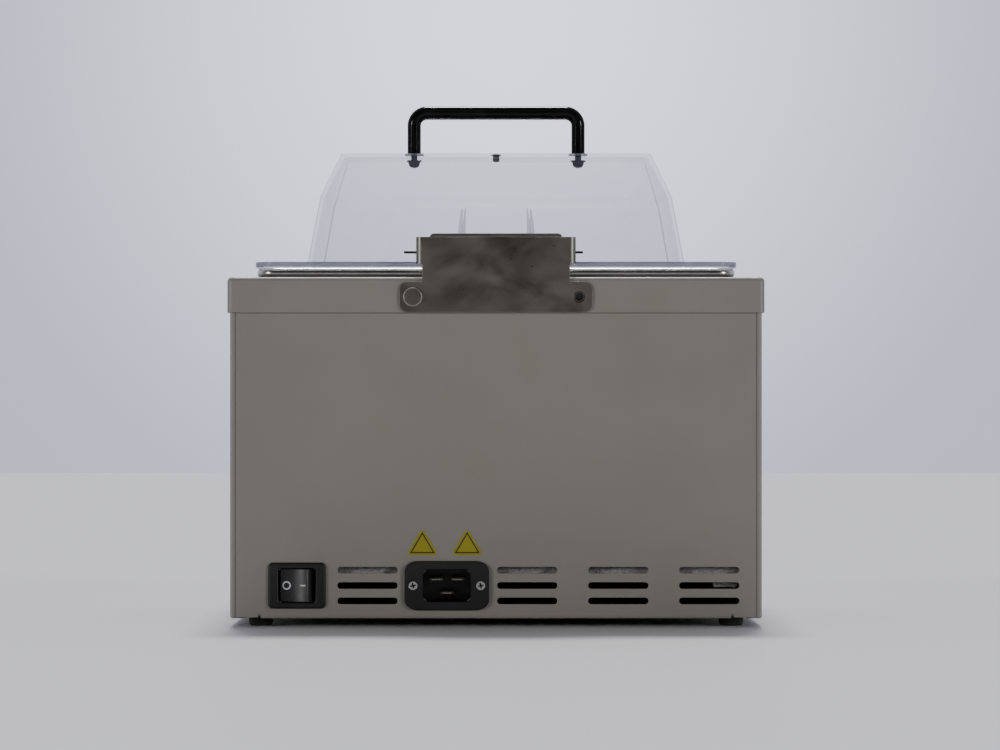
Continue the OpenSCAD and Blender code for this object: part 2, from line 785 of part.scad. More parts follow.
module lid_handle() {
    foot_z = hood_z + lid_h + 1.6;
    bend_r = 12 - bar_dia / 2;
    top = hood_z + lid_h + handle_h - bar_dia / 2;
    side = leg_pitch / 2;
    color([0.05, 0.05, 0.05]) translate([0, lid_y, 0]) difference() {
        union() {
            for (s = [-1, 1]) {
                translate([s * side, 0, foot_z]) cylinder(d = bar_dia, h = top - bend_r - foot_z);
                translate([s * (side - bend_r), 0, top - bend_r]) rotate([90, 0, 0])
                    rotate([0, 0, s > 0 ? 0 : 90]) rotate_extrude(angle = 90)
                        translate([bend_r, 0]) circle(d = bar_dia);
            }
            translate([-(side - bend_r), 0, top]) rotate([0, 90, 0])
                cylinder(d = bar_dia, h = 2 * (side - bend_r));
        }
        for (s = [-1, 1]) translate([s * side, 0, foot_z - 1]) cylinder(d = 4.2, h = 15);
    }
}

module handle_washers() {
    color([0.80, 0.84, 0.90, 0.5]) for (s = [-1, 1])
        translate([s * leg_pitch / 2, lid_y, hood_z + lid_h + 0.05]) difference() {
            cylinder(d = 12, h = 1.5);
            translate([0, 0, -1]) cylinder(d = 4.4, h = 4);
        }
}

module handle_screws() {
    under = hood_z + lid_h - lid_wall;
    color([0.15, 0.15, 0.15]) for (s = [-1, 1]) translate([s * leg_pitch / 2, lid_y, under]) {
        translate([0, 0, -1]) cylinder(d = 4, h = 16);
        translate([0, 0, -1.05]) cylinder(d = 9, h = 1);
        intersection() {
            translate([0, 0, -1]) sphere(d = 7);
            translate([0, 0, -5]) cylinder(d = 8, h = 4.4);
        }
    }
}

module lid_plug() {
    top = hood_z + lid_h;
    color([0.25, 0.25, 0.27]) translate([0, lid_y, 0]) {
        translate([0, 0, top + 0.05]) cylinder(d = 6.4, h = 1.2);
        translate([0, 0, top - lid_wall - 1.2]) cylinder(d = 4.2, h = lid_wall + 2);
    }
}

base_pan();
left_side_panel();
right_side_panel();
front_panel();
rear_panel();
top_cover();
deck_pan();
block_chamber();
tube_block_1();
tube_block_2();
tube_block_3();
tube_block_4();
heater_mat();
mat_clamp_plate();
clamp_screws();
chamber_posts();
side_insulation();
base_insulation();
rear_blanket();
temperature_sensor();
safety_thermostat();
control_board();
board_spacers();
display_module();
key_domes();
transformer();
relay_heat_sink();
solid_state_relay();
terminal_block();
earth_stud();
mains_wires();
heater_wires();
control_fascia();
display_window();
set_key();
down_key();
up_key();
start_key();
switch_housing();
power_rocker();
inlet_body();
inlet_pins();
inlet_screws();
warning_stickers();
rubber_feet();
foot_screws();
hinge_bracket();
hinge_inserts();
hinge_screw();
hinge_pin();
hinge_leaf();
leaf_screws();
lid_hood();
lid_handle();
handle_washers();
handle_screws();
lid_plug();
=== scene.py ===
import bpy
import json
import math
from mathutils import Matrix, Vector


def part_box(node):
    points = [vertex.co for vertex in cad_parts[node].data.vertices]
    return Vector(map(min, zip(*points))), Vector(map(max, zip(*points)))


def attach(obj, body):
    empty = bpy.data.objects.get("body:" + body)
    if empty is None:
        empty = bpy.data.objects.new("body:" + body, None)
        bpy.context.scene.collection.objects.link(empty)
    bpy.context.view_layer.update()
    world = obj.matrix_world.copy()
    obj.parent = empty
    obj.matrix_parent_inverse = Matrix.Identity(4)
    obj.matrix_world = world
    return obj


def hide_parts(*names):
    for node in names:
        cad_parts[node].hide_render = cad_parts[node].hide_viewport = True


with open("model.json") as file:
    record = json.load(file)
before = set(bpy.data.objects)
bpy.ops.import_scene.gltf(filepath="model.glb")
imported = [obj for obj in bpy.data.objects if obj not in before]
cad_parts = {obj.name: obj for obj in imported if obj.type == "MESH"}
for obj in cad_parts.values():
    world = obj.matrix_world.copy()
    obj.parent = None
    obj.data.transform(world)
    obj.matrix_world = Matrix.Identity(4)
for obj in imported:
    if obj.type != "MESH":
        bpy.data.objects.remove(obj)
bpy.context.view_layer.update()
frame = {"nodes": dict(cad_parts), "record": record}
mm = 0.001
mesh = bpy.ops.mesh
print("frame loaded,", len(frame["nodes"]), "nodes")


# ---------- small tools ----------

def deselect():
    if bpy.context.object and bpy.context.object.mode != "OBJECT":
        bpy.ops.object.mode_set(mode="OBJECT")
    bpy.ops.object.select_all(action="DESELECT")


def focus(piece):
    deselect()
    piece.select_set(True)
    bpy.context.view_layer.objects.active = piece


def rename(name):
    piece = bpy.context.object
    piece.name = name
    piece.data.name = name
    return piece


def edit(piece, kind="FACE"):
    focus(piece)
    bpy.ops.object.mode_set(mode="EDIT")
    mesh.select_mode(type=kind)


def leave():
    bpy.ops.object.mode_set(mode="OBJECT")


def pickFaces(piece, test):
    # test gets a face's centre and normal, in millimetres
    edit(piece, "FACE")
    mesh.select_all(action="DESELECT")
    leave()
    for face in piece.data.polygons:
        face.select = bool(test(face.center / mm, face.normal))
    bpy.ops.object.mode_set(mode="EDIT")


def pickEdges(piece, test):
    # test gets the two ends of an edge, in millimetres
    edit(piece, "EDGE")
    mesh.select_all(action="DESELECT")
    leave()
    verts = piece.data.vertices
    for edge in piece.data.edges:
        a, b = (verts[i].co / mm for i in edge.vertices)
        edge.select = bool(test(a, b))
    bpy.ops.object.mode_set(mode="EDIT")


def modifier(piece, kind, **settings):
    focus(piece)
    mod = piece.modifiers.new(kind.lower(), kind)
    for key, value in settings.items():
        setattr(mod, key, value)
    bpy.ops.object.modifier_apply(modifier=mod.name)


def bevel(piece, width, segments=2, angle=40):
    modifier(piece, "BEVEL", width=width * mm, segments=segments, limit_method="ANGLE",
             angle_limit=math.radians(angle), harden_normals=False)


def smooth(piece, angle=35):
    focus(piece)
    bpy.ops.object.shade_smooth_by_angle(angle=math.radians(angle))
    modifier(piece, "WEIGHTED_NORMAL", keep_sharp=True, weight=80)


def outward(piece):
    edit(piece, "VERT")
    mesh.select_all(action="SELECT")
    mesh.remove_doubles(threshold=0.00002)
    mesh.normals_make_consistent(inside=False)
    leave()


def cut(piece, cutters, materials="INDEX"):
    # takes the cutters' shapes out of a piece and clears them away
    for cutter in cutters:
        modifier(piece, "BOOLEAN", operation="DIFFERENCE", object=cutter, solver="EXACT",
                 material_mode=materials)
        bpy.data.objects.remove(cutter, do_unlink=True)


def join(pieces):
    deselect()
    for piece in pieces:
        piece.select_set(True)
    bpy.context.view_layer.objects.active = pieces[0]
    bpy.ops.object.join()
    return bpy.context.object


def settle(piece, at=(0, 0, 0), turn=(0, 0, 0)):
    # moves a piece modelled at the origin to its place and leaves that in the mesh
    focus(piece)
    piece.rotation_euler = [math.radians(a) for a in turn]
    piece.location = [c * mm for c in at]
    bpy.ops.object.transform_apply(location=True, rotation=True, scale=True)
    return piece


def block(name, low, high):
    size = [b - a for a, b in zip(low, high)]
    deselect()
    mesh.primitive_cube_add(size=mm, location=[(a + b) / 2 * mm for a, b in zip(low, high)])
    piece = rename(name)
    bpy.ops.object.transform_apply(location=True)
    edit(piece)
    mesh.select_all(action="SELECT")
    centre = [(a + b) / 2 * mm for a, b in zip(low, high)]
    bpy.ops.transform.resize(value=size, center_override=centre)
    leave()
    return piece


def stack(name, radius, levels, corner=6, openBottom=False):
    # a rounded rectangle raised through levels of (width, depth, z); the first level is the start
    w, d, z = levels[0]
    deselect()
    mesh.primitive_plane_add(size=mm)
    piece = rename(name)
    edit(piece, "VERT")
    mesh.select_all(action="SELECT")
    bpy.ops.transform.resize(value=(w, d, 1), center_override=(0, 0, 0))
    bpy.ops.transform.translate(value=(0, 0, z * mm))
    if radius:
        mesh.bevel(offset=radius * mm, segments=corner, affect="VERTICES")
    mesh.select_mode(type="FACE")
    mesh.select_all(action="SELECT")
    for nw, nd, nz in levels[1:]:
        mesh.extrude_region_move(TRANSFORM_OT_translate={"value": (0, 0, (nz - z) * mm)})
        bpy.ops.transform.resize(value=(nw / w, nd / d, 1), center_override=(0, 0, 0))
        w, d, z = nw, nd, nz
    leave()
    if openBottom:
        start = levels[0][2]
        pickFaces(piece, lambda m, n: abs(m.z - start) < 0.001)
        mesh.delete(type="ONLY_FACE")
        leave()
    outward(piece)
    return piece


def turned(name, rings, sides=40):
    # a lathe-turned piece about Z: rings of (radius, z) from one end to the other
    r, z = rings[0]
    deselect()
    mesh.primitive_circle_add(vertices=sides, radius=r * mm, fill_type="NGON",
                              location=(0, 0, z * mm))
    piece = rename(name)
    bpy.ops.object.transform_apply(location=True)
    edit(piece, "FACE")
    mesh.select_all(action="SELECT")
    for nr, nz in rings[1:]:
        mesh.extrude_region_move(TRANSFORM_OT_translate={"value": (0, 0, (nz - z) * mm)})
        bpy.ops.transform.resize(value=(nr / r, nr / r, 1), center_override=(0, 0, 0))
        r, z = nr, nz
    leave()
    outward(piece)
    return piece


def rod(name, radius, start, end, sides=32):
    # a plain round cutter along Y, from start to end
    deselect()
    mesh.primitive_cylinder_add(vertices=sides, radius=radius * mm, depth=(end.y - start.y) * mm,
                                location=(start + end) / 2 * mm, rotation=(math.pi / 2, 0, 0))
    piece = rename(name)
    bpy.ops.object.transform_apply(location=True, rotation=True)
    return piece


def low(node):
    return Vector(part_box(node)[0]) / mm


def high(node):
    return Vector(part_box(node)[1]) / mm


def middle(node):
    return (low(node) + high(node)) / 2


insertShape = {"radius": 3.3, "thread": (2.5, 2.2), "pitch": 0.4, "turns": 20}


def insertSpots():
    # the middles of the two threaded inserts under the hinge bracket, across and up
    a, b = low("hinge_inserts"), high("hinge_inserts")
    r = insertShape["radius"]
    return [(x, (a.z + b.z) / 2) for x in (a.x + r, b.x - r)]


def stand(piece, body, material, *nodes):
    # gives a piece its finish, unless it has its own, and hides the CAD nodes it stands for
    if material:
        piece.data.materials.clear()
        piece.data.materials.append(material)
    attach(piece, body)
    if nodes:
        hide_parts(*nodes)
    return piece


# ---------- materials ----------

def fillRamp(ramp, stops):
    while len(ramp.elements) < len(stops):
        ramp.elements.new(0.5)
    for mark, (spot, colour) in zip(ramp.elements, stops):
        mark.position = spot
        mark.color = (*colour, 1)


class Finish:
    # a principled material with noise-driven colour, roughness and bump
    def __init__(self, name, colour, metal=0.0, rough=0.5):
        self.mat = bpy.data.materials.new(name)
        self.mat.use_nodes = True
        self.tree = self.mat.node_tree
        self.shader = self.tree.nodes["Principled BSDF"]
        self.shader.inputs["Base Color"].default_value = (*colour, 1)
        self.shader.inputs["Metallic"].default_value = metal
        self.shader.inputs["Roughness"].default_value = rough
        self.coords = self.tree.nodes.new("ShaderNodeTexCoord")
        self.normal = None

    def link(self, out, into):
        self.tree.links.new(out, into)

    def noise(self, scale, detail=4, stretch=(1, 1, 1), distortion=0.0):
        place = self.tree.nodes.new("ShaderNodeMapping")
        place.inputs["Scale"].default_value = stretch
        tex = self.tree.nodes.new("ShaderNodeTexNoise")
        tex.inputs["Scale"].default_value = scale
        tex.inputs["Detail"].default_value = detail
        tex.inputs["Distortion"].default_value = distortion
        self.link(self.coords.outputs["Object"], place.inputs["Vector"])
        self.link(place.outputs["Vector"], tex.inputs["Vector"])
        return tex.outputs["Fac"]

    def ramp(self, value, stops):
        tint = self.tree.nodes.new("ShaderNodeValToRGB")
        fillRamp(tint.color_ramp, stops)
        self.link(value, tint.inputs["Fac"])
        return tint.outputs["Color"]

    def spread(self, value, fromLow, fromHigh, toLow, toHigh):
        tool = self.tree.nodes.new("ShaderNodeMapRange")
        for key, number in zip(("From Min", "From Max", "To Min", "To Max"),
                               (fromLow, fromHigh, toLow, toHigh)):
            tool.inputs[key].default_value = number
        self.link(value, tool.inputs["Value"])
        return tool.outputs["Result"]

    def blend(self, factor, a, b, how="MIX"):
        tool = self.tree.nodes.new("ShaderNodeMix")
        tool.data_type = "RGBA"
        tool.blend_type = how
        for spot, source in ((0, factor), (6, a), (7, b)):
            if isinstance(source, (int, float)):
                tool.inputs[spot].default_value = source
            elif isinstance(source, tuple):
                tool.inputs[spot].default_value = (*source, 1)
            else:
                self.link(source, tool.inputs[spot])
        return tool.outputs[2]

    def colour(self, output):
        self.link(output, self.shader.inputs["Base Color"])

    def rough(self, output):
        self.link(output, self.shader.inputs["Roughness"])

    def bump(self, output, depth, strength=1.0):
        tool = self.tree.nodes.new("ShaderNodeBump")
        tool.inputs["Strength"].default_value = strength
        tool.inputs["Distance"].default_value = depth
        self.link(output, tool.inputs["Height"])
        if self.normal:
            self.link(self.normal, tool.inputs["Normal"])
        self.normal = tool.outputs["Normal"]
        self.link(self.normal, self.shader.inputs["Normal"])


def paintFinish(name, colour):
    look = Finish(name, colour, rough=0.42)
    dull = tuple(c * 0.93 for c in colour)
    warm = (colour[0] * 0.97, colour[1] * 0.94, colour[2] * 0.88)
    base = look.ramp(look.noise(9, 3), [(0.35, dull), (0.62, colour)])
    smudge = look.spread(look.noise(26, 6, distortion=0.6), 0.60, 0.74, 0, 0.5)
    look.colour(look.blend(smudge, base, warm))
    look.rough(look.spread(look.noise(40, 5), 0.3, 0.7, 0.36, 0.52))
    look.bump(look.noise(1500, 2), 0.00004, 0.5)
    look.shader.inputs["Coat Weight"].default_value = 0.08
    look.shader.inputs["Coat Roughness"].default_value = 0.35
    return look.mat


def metalFinish(name, colour, rough=0.3, stretch=(1, 1, 1), grain=900, depth=0.00001, stain=0.85):
    look = Finish(name, colour, metal=1.0, rough=rough)
    dark = tuple(c * stain for c in colour)
    cloud = look.noise(30, 6, distortion=0.8)
    streak = look.noise(grain, 3, stretch)
    base = look.ramp(cloud, [(0.35, dark), (0.6, colour)])
    look.colour(look.blend(0.25, base, look.ramp(streak, [(0.3, dark), (0.7, colour)])))
    look.rough(look.spread(cloud, 0.3, 0.7, rough * 0.8, rough * 1.35))
    look.bump(streak, depth, 0.6)
    return look.mat


def bracketFinish(name):
    # brushed stainless that has been handled: faint grain, warm smears, small dark nicks
    steel = (0.20, 0.185, 0.16)
    look = Finish(name, steel, metal=1.0, rough=0.4)
    smear = look.noise(22, 6, (1, 1, 1.6), 1.2)
    base = look.ramp(smear, [(0.32, (0.15, 0.135, 0.11)), (0.52, steel), (0.74, (0.24, 0.22, 0.20))])
    warm = look.spread(look.noise(34, 4), 0.52, 0.72, 0, 0.5)
    base = look.blend(warm, base, (0.22, 0.165, 0.145))
    nick = look.spread(look.noise(170, 2, (1, 1, 1), 0.4), 0.70, 0.74, 0, 0.9)
    look.colour(look.blend(nick, base, (0.03, 0.028, 0.025)))
    look.rough(look.spread(smear, 0.3, 0.7, 0.26, 0.44))
    look.bump(look.noise(1100, 2, (1, 1, 0.04)), 0.000006, 0.6)
    return look.mat


def plasticFinish(name, colour, rough=0.4, grain=1200, depth=0.00003):
    look = Finish(name, colour, rough=rough)
    light = tuple(min(1, c * 1.5 + 0.012) for c in colour)
    dust = look.spread(look.noise(45, 6), 0.55, 0.8, 0, 0.55)
    look.colour(look.blend(dust, colour, light))
    look.rough(look.spread(look.noise(60, 4), 0.3, 0.7, rough * 0.85, rough * 1.2))
    look.bump(look.noise(grain, 2), depth, 0.5)
    return look.mat


def clearFinish(name, tint, facing, edgeOn, rough=0.06):
    # clear sheet: nearly unseen face on, stronger and bluer at a grazing angle
    look = Finish(name, tint, rough=rough)
    graze = look.tree.nodes.new("ShaderNodeLayerWeight")
    graze.inputs["Blend"].default_value = 0.25
    scuff = look.spread(look.noise(70, 6, distortion=0.5), 0.55, 0.8, 0, 0.02)
    veil = look.spread(graze.outputs["Facing"], 0.45, 0.95, facing, edgeOn)
    look.tree.nodes[-1].interpolation_type = "SMOOTHERSTEP"
    total = look.tree.nodes.new("ShaderNodeMath")
    total.operation = "ADD"
    look.link(veil, total.inputs[0])
    look.link(scuff, total.inputs[1])
    look.link(total.outputs["Value"], look.shader.inputs["Alpha"])
    look.rough(look.spread(look.noise(160, 4), 0.3, 0.7, rough * 0.7, rough * 1.6))
    look.bump(look.noise(18, 2), 0.00006, 0.1)
    look.shader.inputs["IOR"].default_value = 1.45
    look.shader.inputs["Specular IOR Level"].default_value = 0.3
    return look.mat


def woolFinish(name):
    look = Finish(name, (0.8, 0.8, 0.8), rough=0.95)
    strand = look.noise(420, 6, (1, 0.4, 1.7), 1.5)
    look.colour(look.ramp(strand, [(0.3, (0.16, 0.16, 0.16)), (0.6, (0.36, 0.36, 0.36))]))
    look.bump(strand, 0.0006, 1.0)
    look.shader.inputs["Sheen Weight"].default_value = 0.3
    return look.mat


cabinetPaint = paintFinish("cabinetPaint", (0.235, 0.224, 0.195))
coverPaint = paintFinish("coverPaint", (0.235, 0.224, 0.195))
stainless = metalFinish("stainless", (0.62, 0.61, 0.59), 0.22, (1, 1, 0.03), 500, 0.000002)
zincSheet = metalFinish("zincSheet", (0.56, 0.58, 0.60), 0.42, stain=0.7)
bracketSteel = bracketFinish("bracketSteel")
leafSteel = metalFinish("leafSteel", (0.36, 0.34, 0.31), 0.38, (0.03, 1, 1), 900)
blockAluminium = metalFinish("blockAluminium", (0.74, 0.75, 0.77), 0.34, (1, 1, 0.05), 700,
                             0.000003, 0.92)
chamberAluminium = metalFinish("chamberAluminium", (0.56, 0.57, 0.58), 0.42, stain=0.8)
screwSteel = metalFinish("screwSteel", (0.62, 0.61, 0.58), 0.28, stain=0.8)
screwFace = metalFinish("screwFace", (0.16, 0.14, 0.125), 0.42, stain=0.7)
insertSteel = metalFinish("insertSteel", (0.20, 0.19, 0.17), 0.4, stain=0.6)
darkWire = metalFinish("darkWire", (0.05, 0.05, 0.05), 0.45)
pinNickel = metalFinish("pinNickel", (0.30, 0.275, 0.22), 0.35)
blackBar = plasticFinish("blackBar", (0.006, 0.006, 0.006), 0.1, 300, 0.00002)
switchBlack = plasticFinish("switchBlack", (0.007, 0.007, 0.008), 0.34)
inletBlack = plasticFinish("inletBlack", (0.008, 0.0075, 0.0075), 0.42)
footRubber = plasticFinish("footRubber", (0.010, 0.010, 0.009), 0.75, 700, 0.00008)
fasciaBlack = plasticFinish("fasciaBlack", (0.020, 0.021, 0.023), 0.38)
keyGrey = plasticFinish("keyGrey", (0.34, 0.36, 0.39), 0.5)
markWhite = plasticFinish("markWhite", (0.55, 0.57, 0.62), 0.5)
labelYellow = plasticFinish("labelYellow", (0.30, 0.255, 0.008), 0.4, 500, 0.00001)
labelBlack = plasticFinish("labelBlack", (0.015, 0.014, 0.012), 0.4)
blackBar.node_tree.nodes["Principled BSDF"].inputs["Specular IOR Level"].default_value = 0.14
clearSheet = clearFinish("clearSheet", (0.12, 0.13, 0.19), 0.105, 0.34)
clearEdge = clearFinish("clearEdge", (0.17, 0.18, 0.26), 0.86, 0.95, 0.2)
# painted shade: a darker, more opaque clear finish laid on the lid's bends to draw the thin dark lines
# of the bent sheet
paintedBendShade = clearFinish("paintedBendShade", (0.09, 0.11, 0.19), 0.5, 0.68, 0.1)
woolFelt = woolFinish("woolFelt")
siliconeOrange = plasticFinish("siliconeOrange", (0.50, 0.12, 0.03), 0.5)
boardGreen = plasticFinish("boardGreen", (0.02, 0.13, 0.05), 0.3)
creamPlastic = plasticFinish("creamPlastic", (0.62, 0.58, 0.48), 0.45)
wireSleeve = plasticFinish("wireSleeve", (0.20, 0.08, 0.03), 0.45)
coreSteel = metalFinish("coreSteel", (0.12, 0.12, 0.13), 0.5)
brassTurned = metalFinish("brassTurned", (0.60, 0.42, 0.14), 0.3)
print("materials ready")


# ---------- housing ----------

coverShape = {"sheet": 1.2, "corner": 3.2, "fold": 2.6, "rim": 10.5, "holeCorner": 9, "insertHole": 3.4}


def topCover():
    c = coverShape
    a, b = low("top_cover"), high("top_cover")
    w, d = b.x - a.x, b.y - a.y
    f = c["fold"]
    fold = [(w - 2 * f * (1 - math.cos(t)), d - 2 * f * (1 - math.cos(t)), b.z - f + f * math.sin(t))
            for t in (math.pi / 2 * i / 5 for i in range(6))]
    cover = stack("topCover", c["corner"], [(w, d, a.z)] + fold)
    pickFaces(cover, lambda m, n: n.z < -0.9)
    mesh.delete(type="FACE")
    leave()
    modifier(cover, "SOLIDIFY", thickness=c["sheet"] * mm, offset=-1)
    pa, pb = low("deck_pan"), high("deck_pan")
    gap = (pb.x - pa.x - 2 * c["rim"], pb.y - pa.y - 2 * c["rim"])
    opening = stack("opening", c["holeCorner"], [(*gap, b.z - 8), (*gap, b.z + 4)])
    settle(opening, (0, (pa.y + pb.y) / 2, 0))
    holes = [rod("hole", c["insertHole"], Vector((x, b.y - 4, z)), Vector((x, b.y + 3, z)))
             for x, z in insertSpots()]
    cut(cover, [opening] + holes)
    smooth(cover, 40)
    stand(cover, "housing", coverPaint, "top_cover")


sideShape = {"sheet": 1.2, "fold": 1.7, "lap": 3, "return": 4, "edge": 0.25}


def sidePanel(name, node, out):
    s = sideShape
    a, b = low(node), high(node)
    outside = b.x if out > 0 else a.x
    panel = block(name, a, b)
    pickEdges(panel, lambda p, q: abs(p.x - outside) < 0.1 and abs(q.x - outside) < 0.1
              and min(p.z, q.z) < b.z - 1)
    mesh.bevel(offset=s["fold"] * mm, segments=4, affect="EDGES")
    leave()
    pickFaces(panel, lambda m, n: n.x * out < -0.9 or n.z > 0.9)
    mesh.delete(type="FACE")
    leave()
    modifier(panel, "SOLIDIFY", thickness=s["sheet"] * mm, offset=-1)
    # the returns at the two ends are short, and the sheet stops just short of the cover
    lap, fold = s["lap"], s["return"]
    reach = (b.x - lap - 12, b.x - lap) if out > 0 else (a.x + lap, a.x + lap + 12)
    trim = block("trim", (reach[0], a.y + fold, a.z + 2), (reach[1], b.y - fold, b.z + 1))
    reach = (b.x - 20, b.x - lap) if out > 0 else (a.x + lap, a.x + 20)
    ends = [block("end", (reach[0], y0, a.z - 1), (reach[1], y1, b.z + 1))
            for y0, y1 in ((a.y - 1, a.y + fold), (b.y - fold, b.y + 1))]
    cut(panel, [trim] + ends)
    bevel(panel, s["edge"], 2, 50)
    smooth(panel)
    stand(panel, "housing", cabinetPaint, node)


endShape = {"sheet": 1.2, "fold": 1.1, "lip": 9, "edge": 0.22, "relief": (140, 0.8, 2.6),
            "slot": (35.6, 3.9), "slotX": (76, -18.5, -72.4, -126.2), "slotPitch": 9.1,
            "switchHole": (30.4, 22.4), "inletHole": (32.4, 24.4), "insertHole": 3.6}


def slotCutter(width, height, x, y, z):
    piece = stack("slot", height / 2 - 0.02, [(width, height, -4), (width, height, 4)], 8)
    return settle(piece, (x, y, z), (90, 0, 0))


def endPanel(name, node, back):
    e = endShape
    a, b = low(node), high(node)
    face = b.y if back > 0 else a.y
    y0, y1 = (face - e["sheet"], face) if back > 0 else (face, face + e["sheet"])
    sheet = block(name, (a.x, y0, a.z + 0.6), (b.x, y1, b.z))
    cutters = []
    if back > 0:
        sw, inlet = middle("switch_housing"), middle("inlet_body")
        cutters += [slotCutter(*e["slot"], x, face, inlet.z + i * e["slotPitch"])
                    for x in e["slotX"] for i in (-1, 0, 1)]
        cutters.append(slotCutter(*e["switchHole"], sw.x, face, sw.z))
        cutters.append(slotCutter(*e["inletHole"], inlet.x, face, inlet.z))
        cutters += [rod("hole", e["insertHole"], Vector((x, face - 4, z)), Vector((x, face + 4, z)))
                    for x, z in insertSpots()]
    else:
        fa, fb = low("control_fascia"), high("control_fascia")
        cutters.append(block("hole", (fa.x + 6, face - 5, fa.z + 6), (fb.x - 6, face + 5, fb.z - 6)))
    spot, half, rise = e["relief"]
    cutters += [block("relief", (side * spot - half, face - 5, a.z - 2),
                      (side * spot + half, face + 5, a.z + rise)) for side in (-1, 1)]
    cut(sheet, cutters)
    bevel(sheet, e["edge"], 2, 50)
    reach = spot - half
    y0, y1 = sorted((face, face - e["lip"] * back))
    lip = block("lip", (-reach, y0, a.z), (reach, y1, a.z + e["sheet"]))
    pickEdges(lip, lambda p, q: abs(p.y - face) < 0.01 and abs(q.y - face) < 0.01
              and p.z < a.z + 0.01 and q.z < a.z + 0.01)
    mesh.bevel(offset=e["fold"] * mm, segments=4, affect="EDGES")
    leave()
    panel = join([sheet, lip])
    smooth(panel)
    stand(panel, "housing", cabinetPaint, node)


footShape = {"radius": 7.25,
             "rings": [(4.3, 2.4), (4.3, 0.5), (4.9, 0.1), (5.6, 0.0), (6.4, 0.35), (7.0, 1.2),
                       (7.25, 2.3), (7.25, 6.3)]}


def rubberFeet():
    a, b = low("rubber_feet"), high("rubber_feet")
    r = footShape["radius"]
    feet = [settle(turned("rubberFeet", footShape["rings"]), (x, y, 0))
            for x in (a.x + r, b.x - r) for y in (a.y + r, b.y - r)]
    whole = join(feet)
    smooth(whole, 50)
    stand(whole, "housing", footRubber, "rubber_feet")


# the quilt behind the vents, torn and sagging along its lower edge
quiltShape = {"bottom": 29.5, "drop": (3, 25, 21, 34), "voxel": 3.4, "fluff": 3.0, "cloud": 0.006}


def rearQuilt():
    q = quiltShape
    a, b = low("rear_blanket"), high("rear_blanket")
    quilt = block("rearQuilt", (a.x + 2, a.y + 3, q["bottom"]), (b.x - 2, b.y - 3, b.z - 2))
    near, far, foot, top = q["drop"]
    drop = block("drop", (a.x + near, a.y + 4, foot), (a.x + far, b.y - 3.4, top))
    sw, inlet = middle("switch_housing"), middle("inlet_body")
    cut(quilt, [block("gap", (sw.x - 20, a.y - 2, 0), (sw.x + 20, b.y + 2, 47)),
                block("gap", (inlet.x - 28, a.y - 2, 0), (inlet.x + 28, b.y + 2, 49))])
    quilt = join([quilt, drop])
    modifier(quilt, "REMESH", mode="VOXEL", voxel_size=q["voxel"] * mm)
    modifier(quilt, "SUBSURF", levels=1, render_levels=1)
    cloud = bpy.data.textures.new("quiltFluff", "CLOUDS")
    cloud.noise_scale = q["cloud"]
    cloud.noise_depth = 3
    modifier(quilt, "DISPLACE", texture=cloud, strength=q["fluff"] * mm, mid_level=0.55,
             texture_coords="LOCAL")
    smooth(quilt, 60)
    stand(quilt, "housing", woolFelt, "rear_blanket")


topCover()
sidePanel("leftSidePanel", "left_side_panel", 1)
sidePanel("rightSidePanel", "right_side_panel", -1)
endPanel("rearPanel", "rear_panel", 1)
endPanel("frontPanel", "front_panel", -1)
rubberFeet()
rearQuilt()
print("housing modelled")


# ---------- deck pan and rim ----------

rimShape = {"corner": 11.4, "sheet": 0.9, "height": 6.2, "depth": 16, "wellGap": 11,
            "roll": [(2.6, 0.05), (0.9, 0.5), (0.15, 1.7), (0, 3.1), (0.35, 4.5), (1.4, 5.6),
                     (3.2, 6.15), (9.6, 6.15), (11.4, 5.6), (12.5, 4.4), (13, 2.6), (13.0, -14),
                     (13.6, -15.2), (15.0, -15.9)]}


def deckPan():
    r = rimShape
    a, b = low("deck_pan"), high("deck_pan")
    w, d = b.x - a.x, b.y - a.y
    base = b.z - r["height"]
    floor = base - r["depth"]
    levels = [(w - 2 * i, d - 2 * i, base + z) for i, z in r["roll"]]
    wa, wb = low("block_chamber"), high("block_chamber")
    levels.append((wb.x - wa.x - r["wellGap"], wb.y - wa.y - r["wellGap"], floor))
    pan = stack("deckPan", r["corner"], levels, corner=10, openBottom=True)
    pickFaces(pan, lambda m, n: abs(m.z - floor) < 0.01 and abs(m.x) < 5 and abs(m.y) < 5)
    mesh.delete(type="FACE")
    leave()
    modifier(pan, "SOLIDIFY", thickness=r["sheet"] * mm, offset=-1)
    settle(pan, (0, (a.y + b.y) / 2, 0))
    smooth(pan, 40)
    stand(pan, "housing", stainless, "deck_pan")


deckPan()


# ---------- tube blocks ----------

# each block: columns, rows, bore, depth, and where its lifting hole sits in pitches
blockShape = {"corner": 2.5, "edge": 0.6, "chamfer": 0.7, "margin": 0.12, "liftHole": (2.1, 20, 0.5),
              "tube_block_1": (6, 4, 11, 38, (0, 0)), "tube_block_2": (5, 4, 13, 45, (0.5, 0)),
              "tube_block_3": (4, 3, 17.2, 45, (0, 0.5)), "tube_block_4": (3, 2, 28.6, 45, (0.5, 0))}


def boreCutter(radius, x, y, top, depth, chamfer):
    rings = [(radius * 0.3, top - depth - radius * 0.25), (radius * 0.85, top - depth),
             (radius, top - depth + radius * 0.3), (radius, top - chamfer),
             (radius + chamfer, top), (radius + chamfer, top + 2)]
    return settle(turned("bore", rings, 36), (x, y, 0))


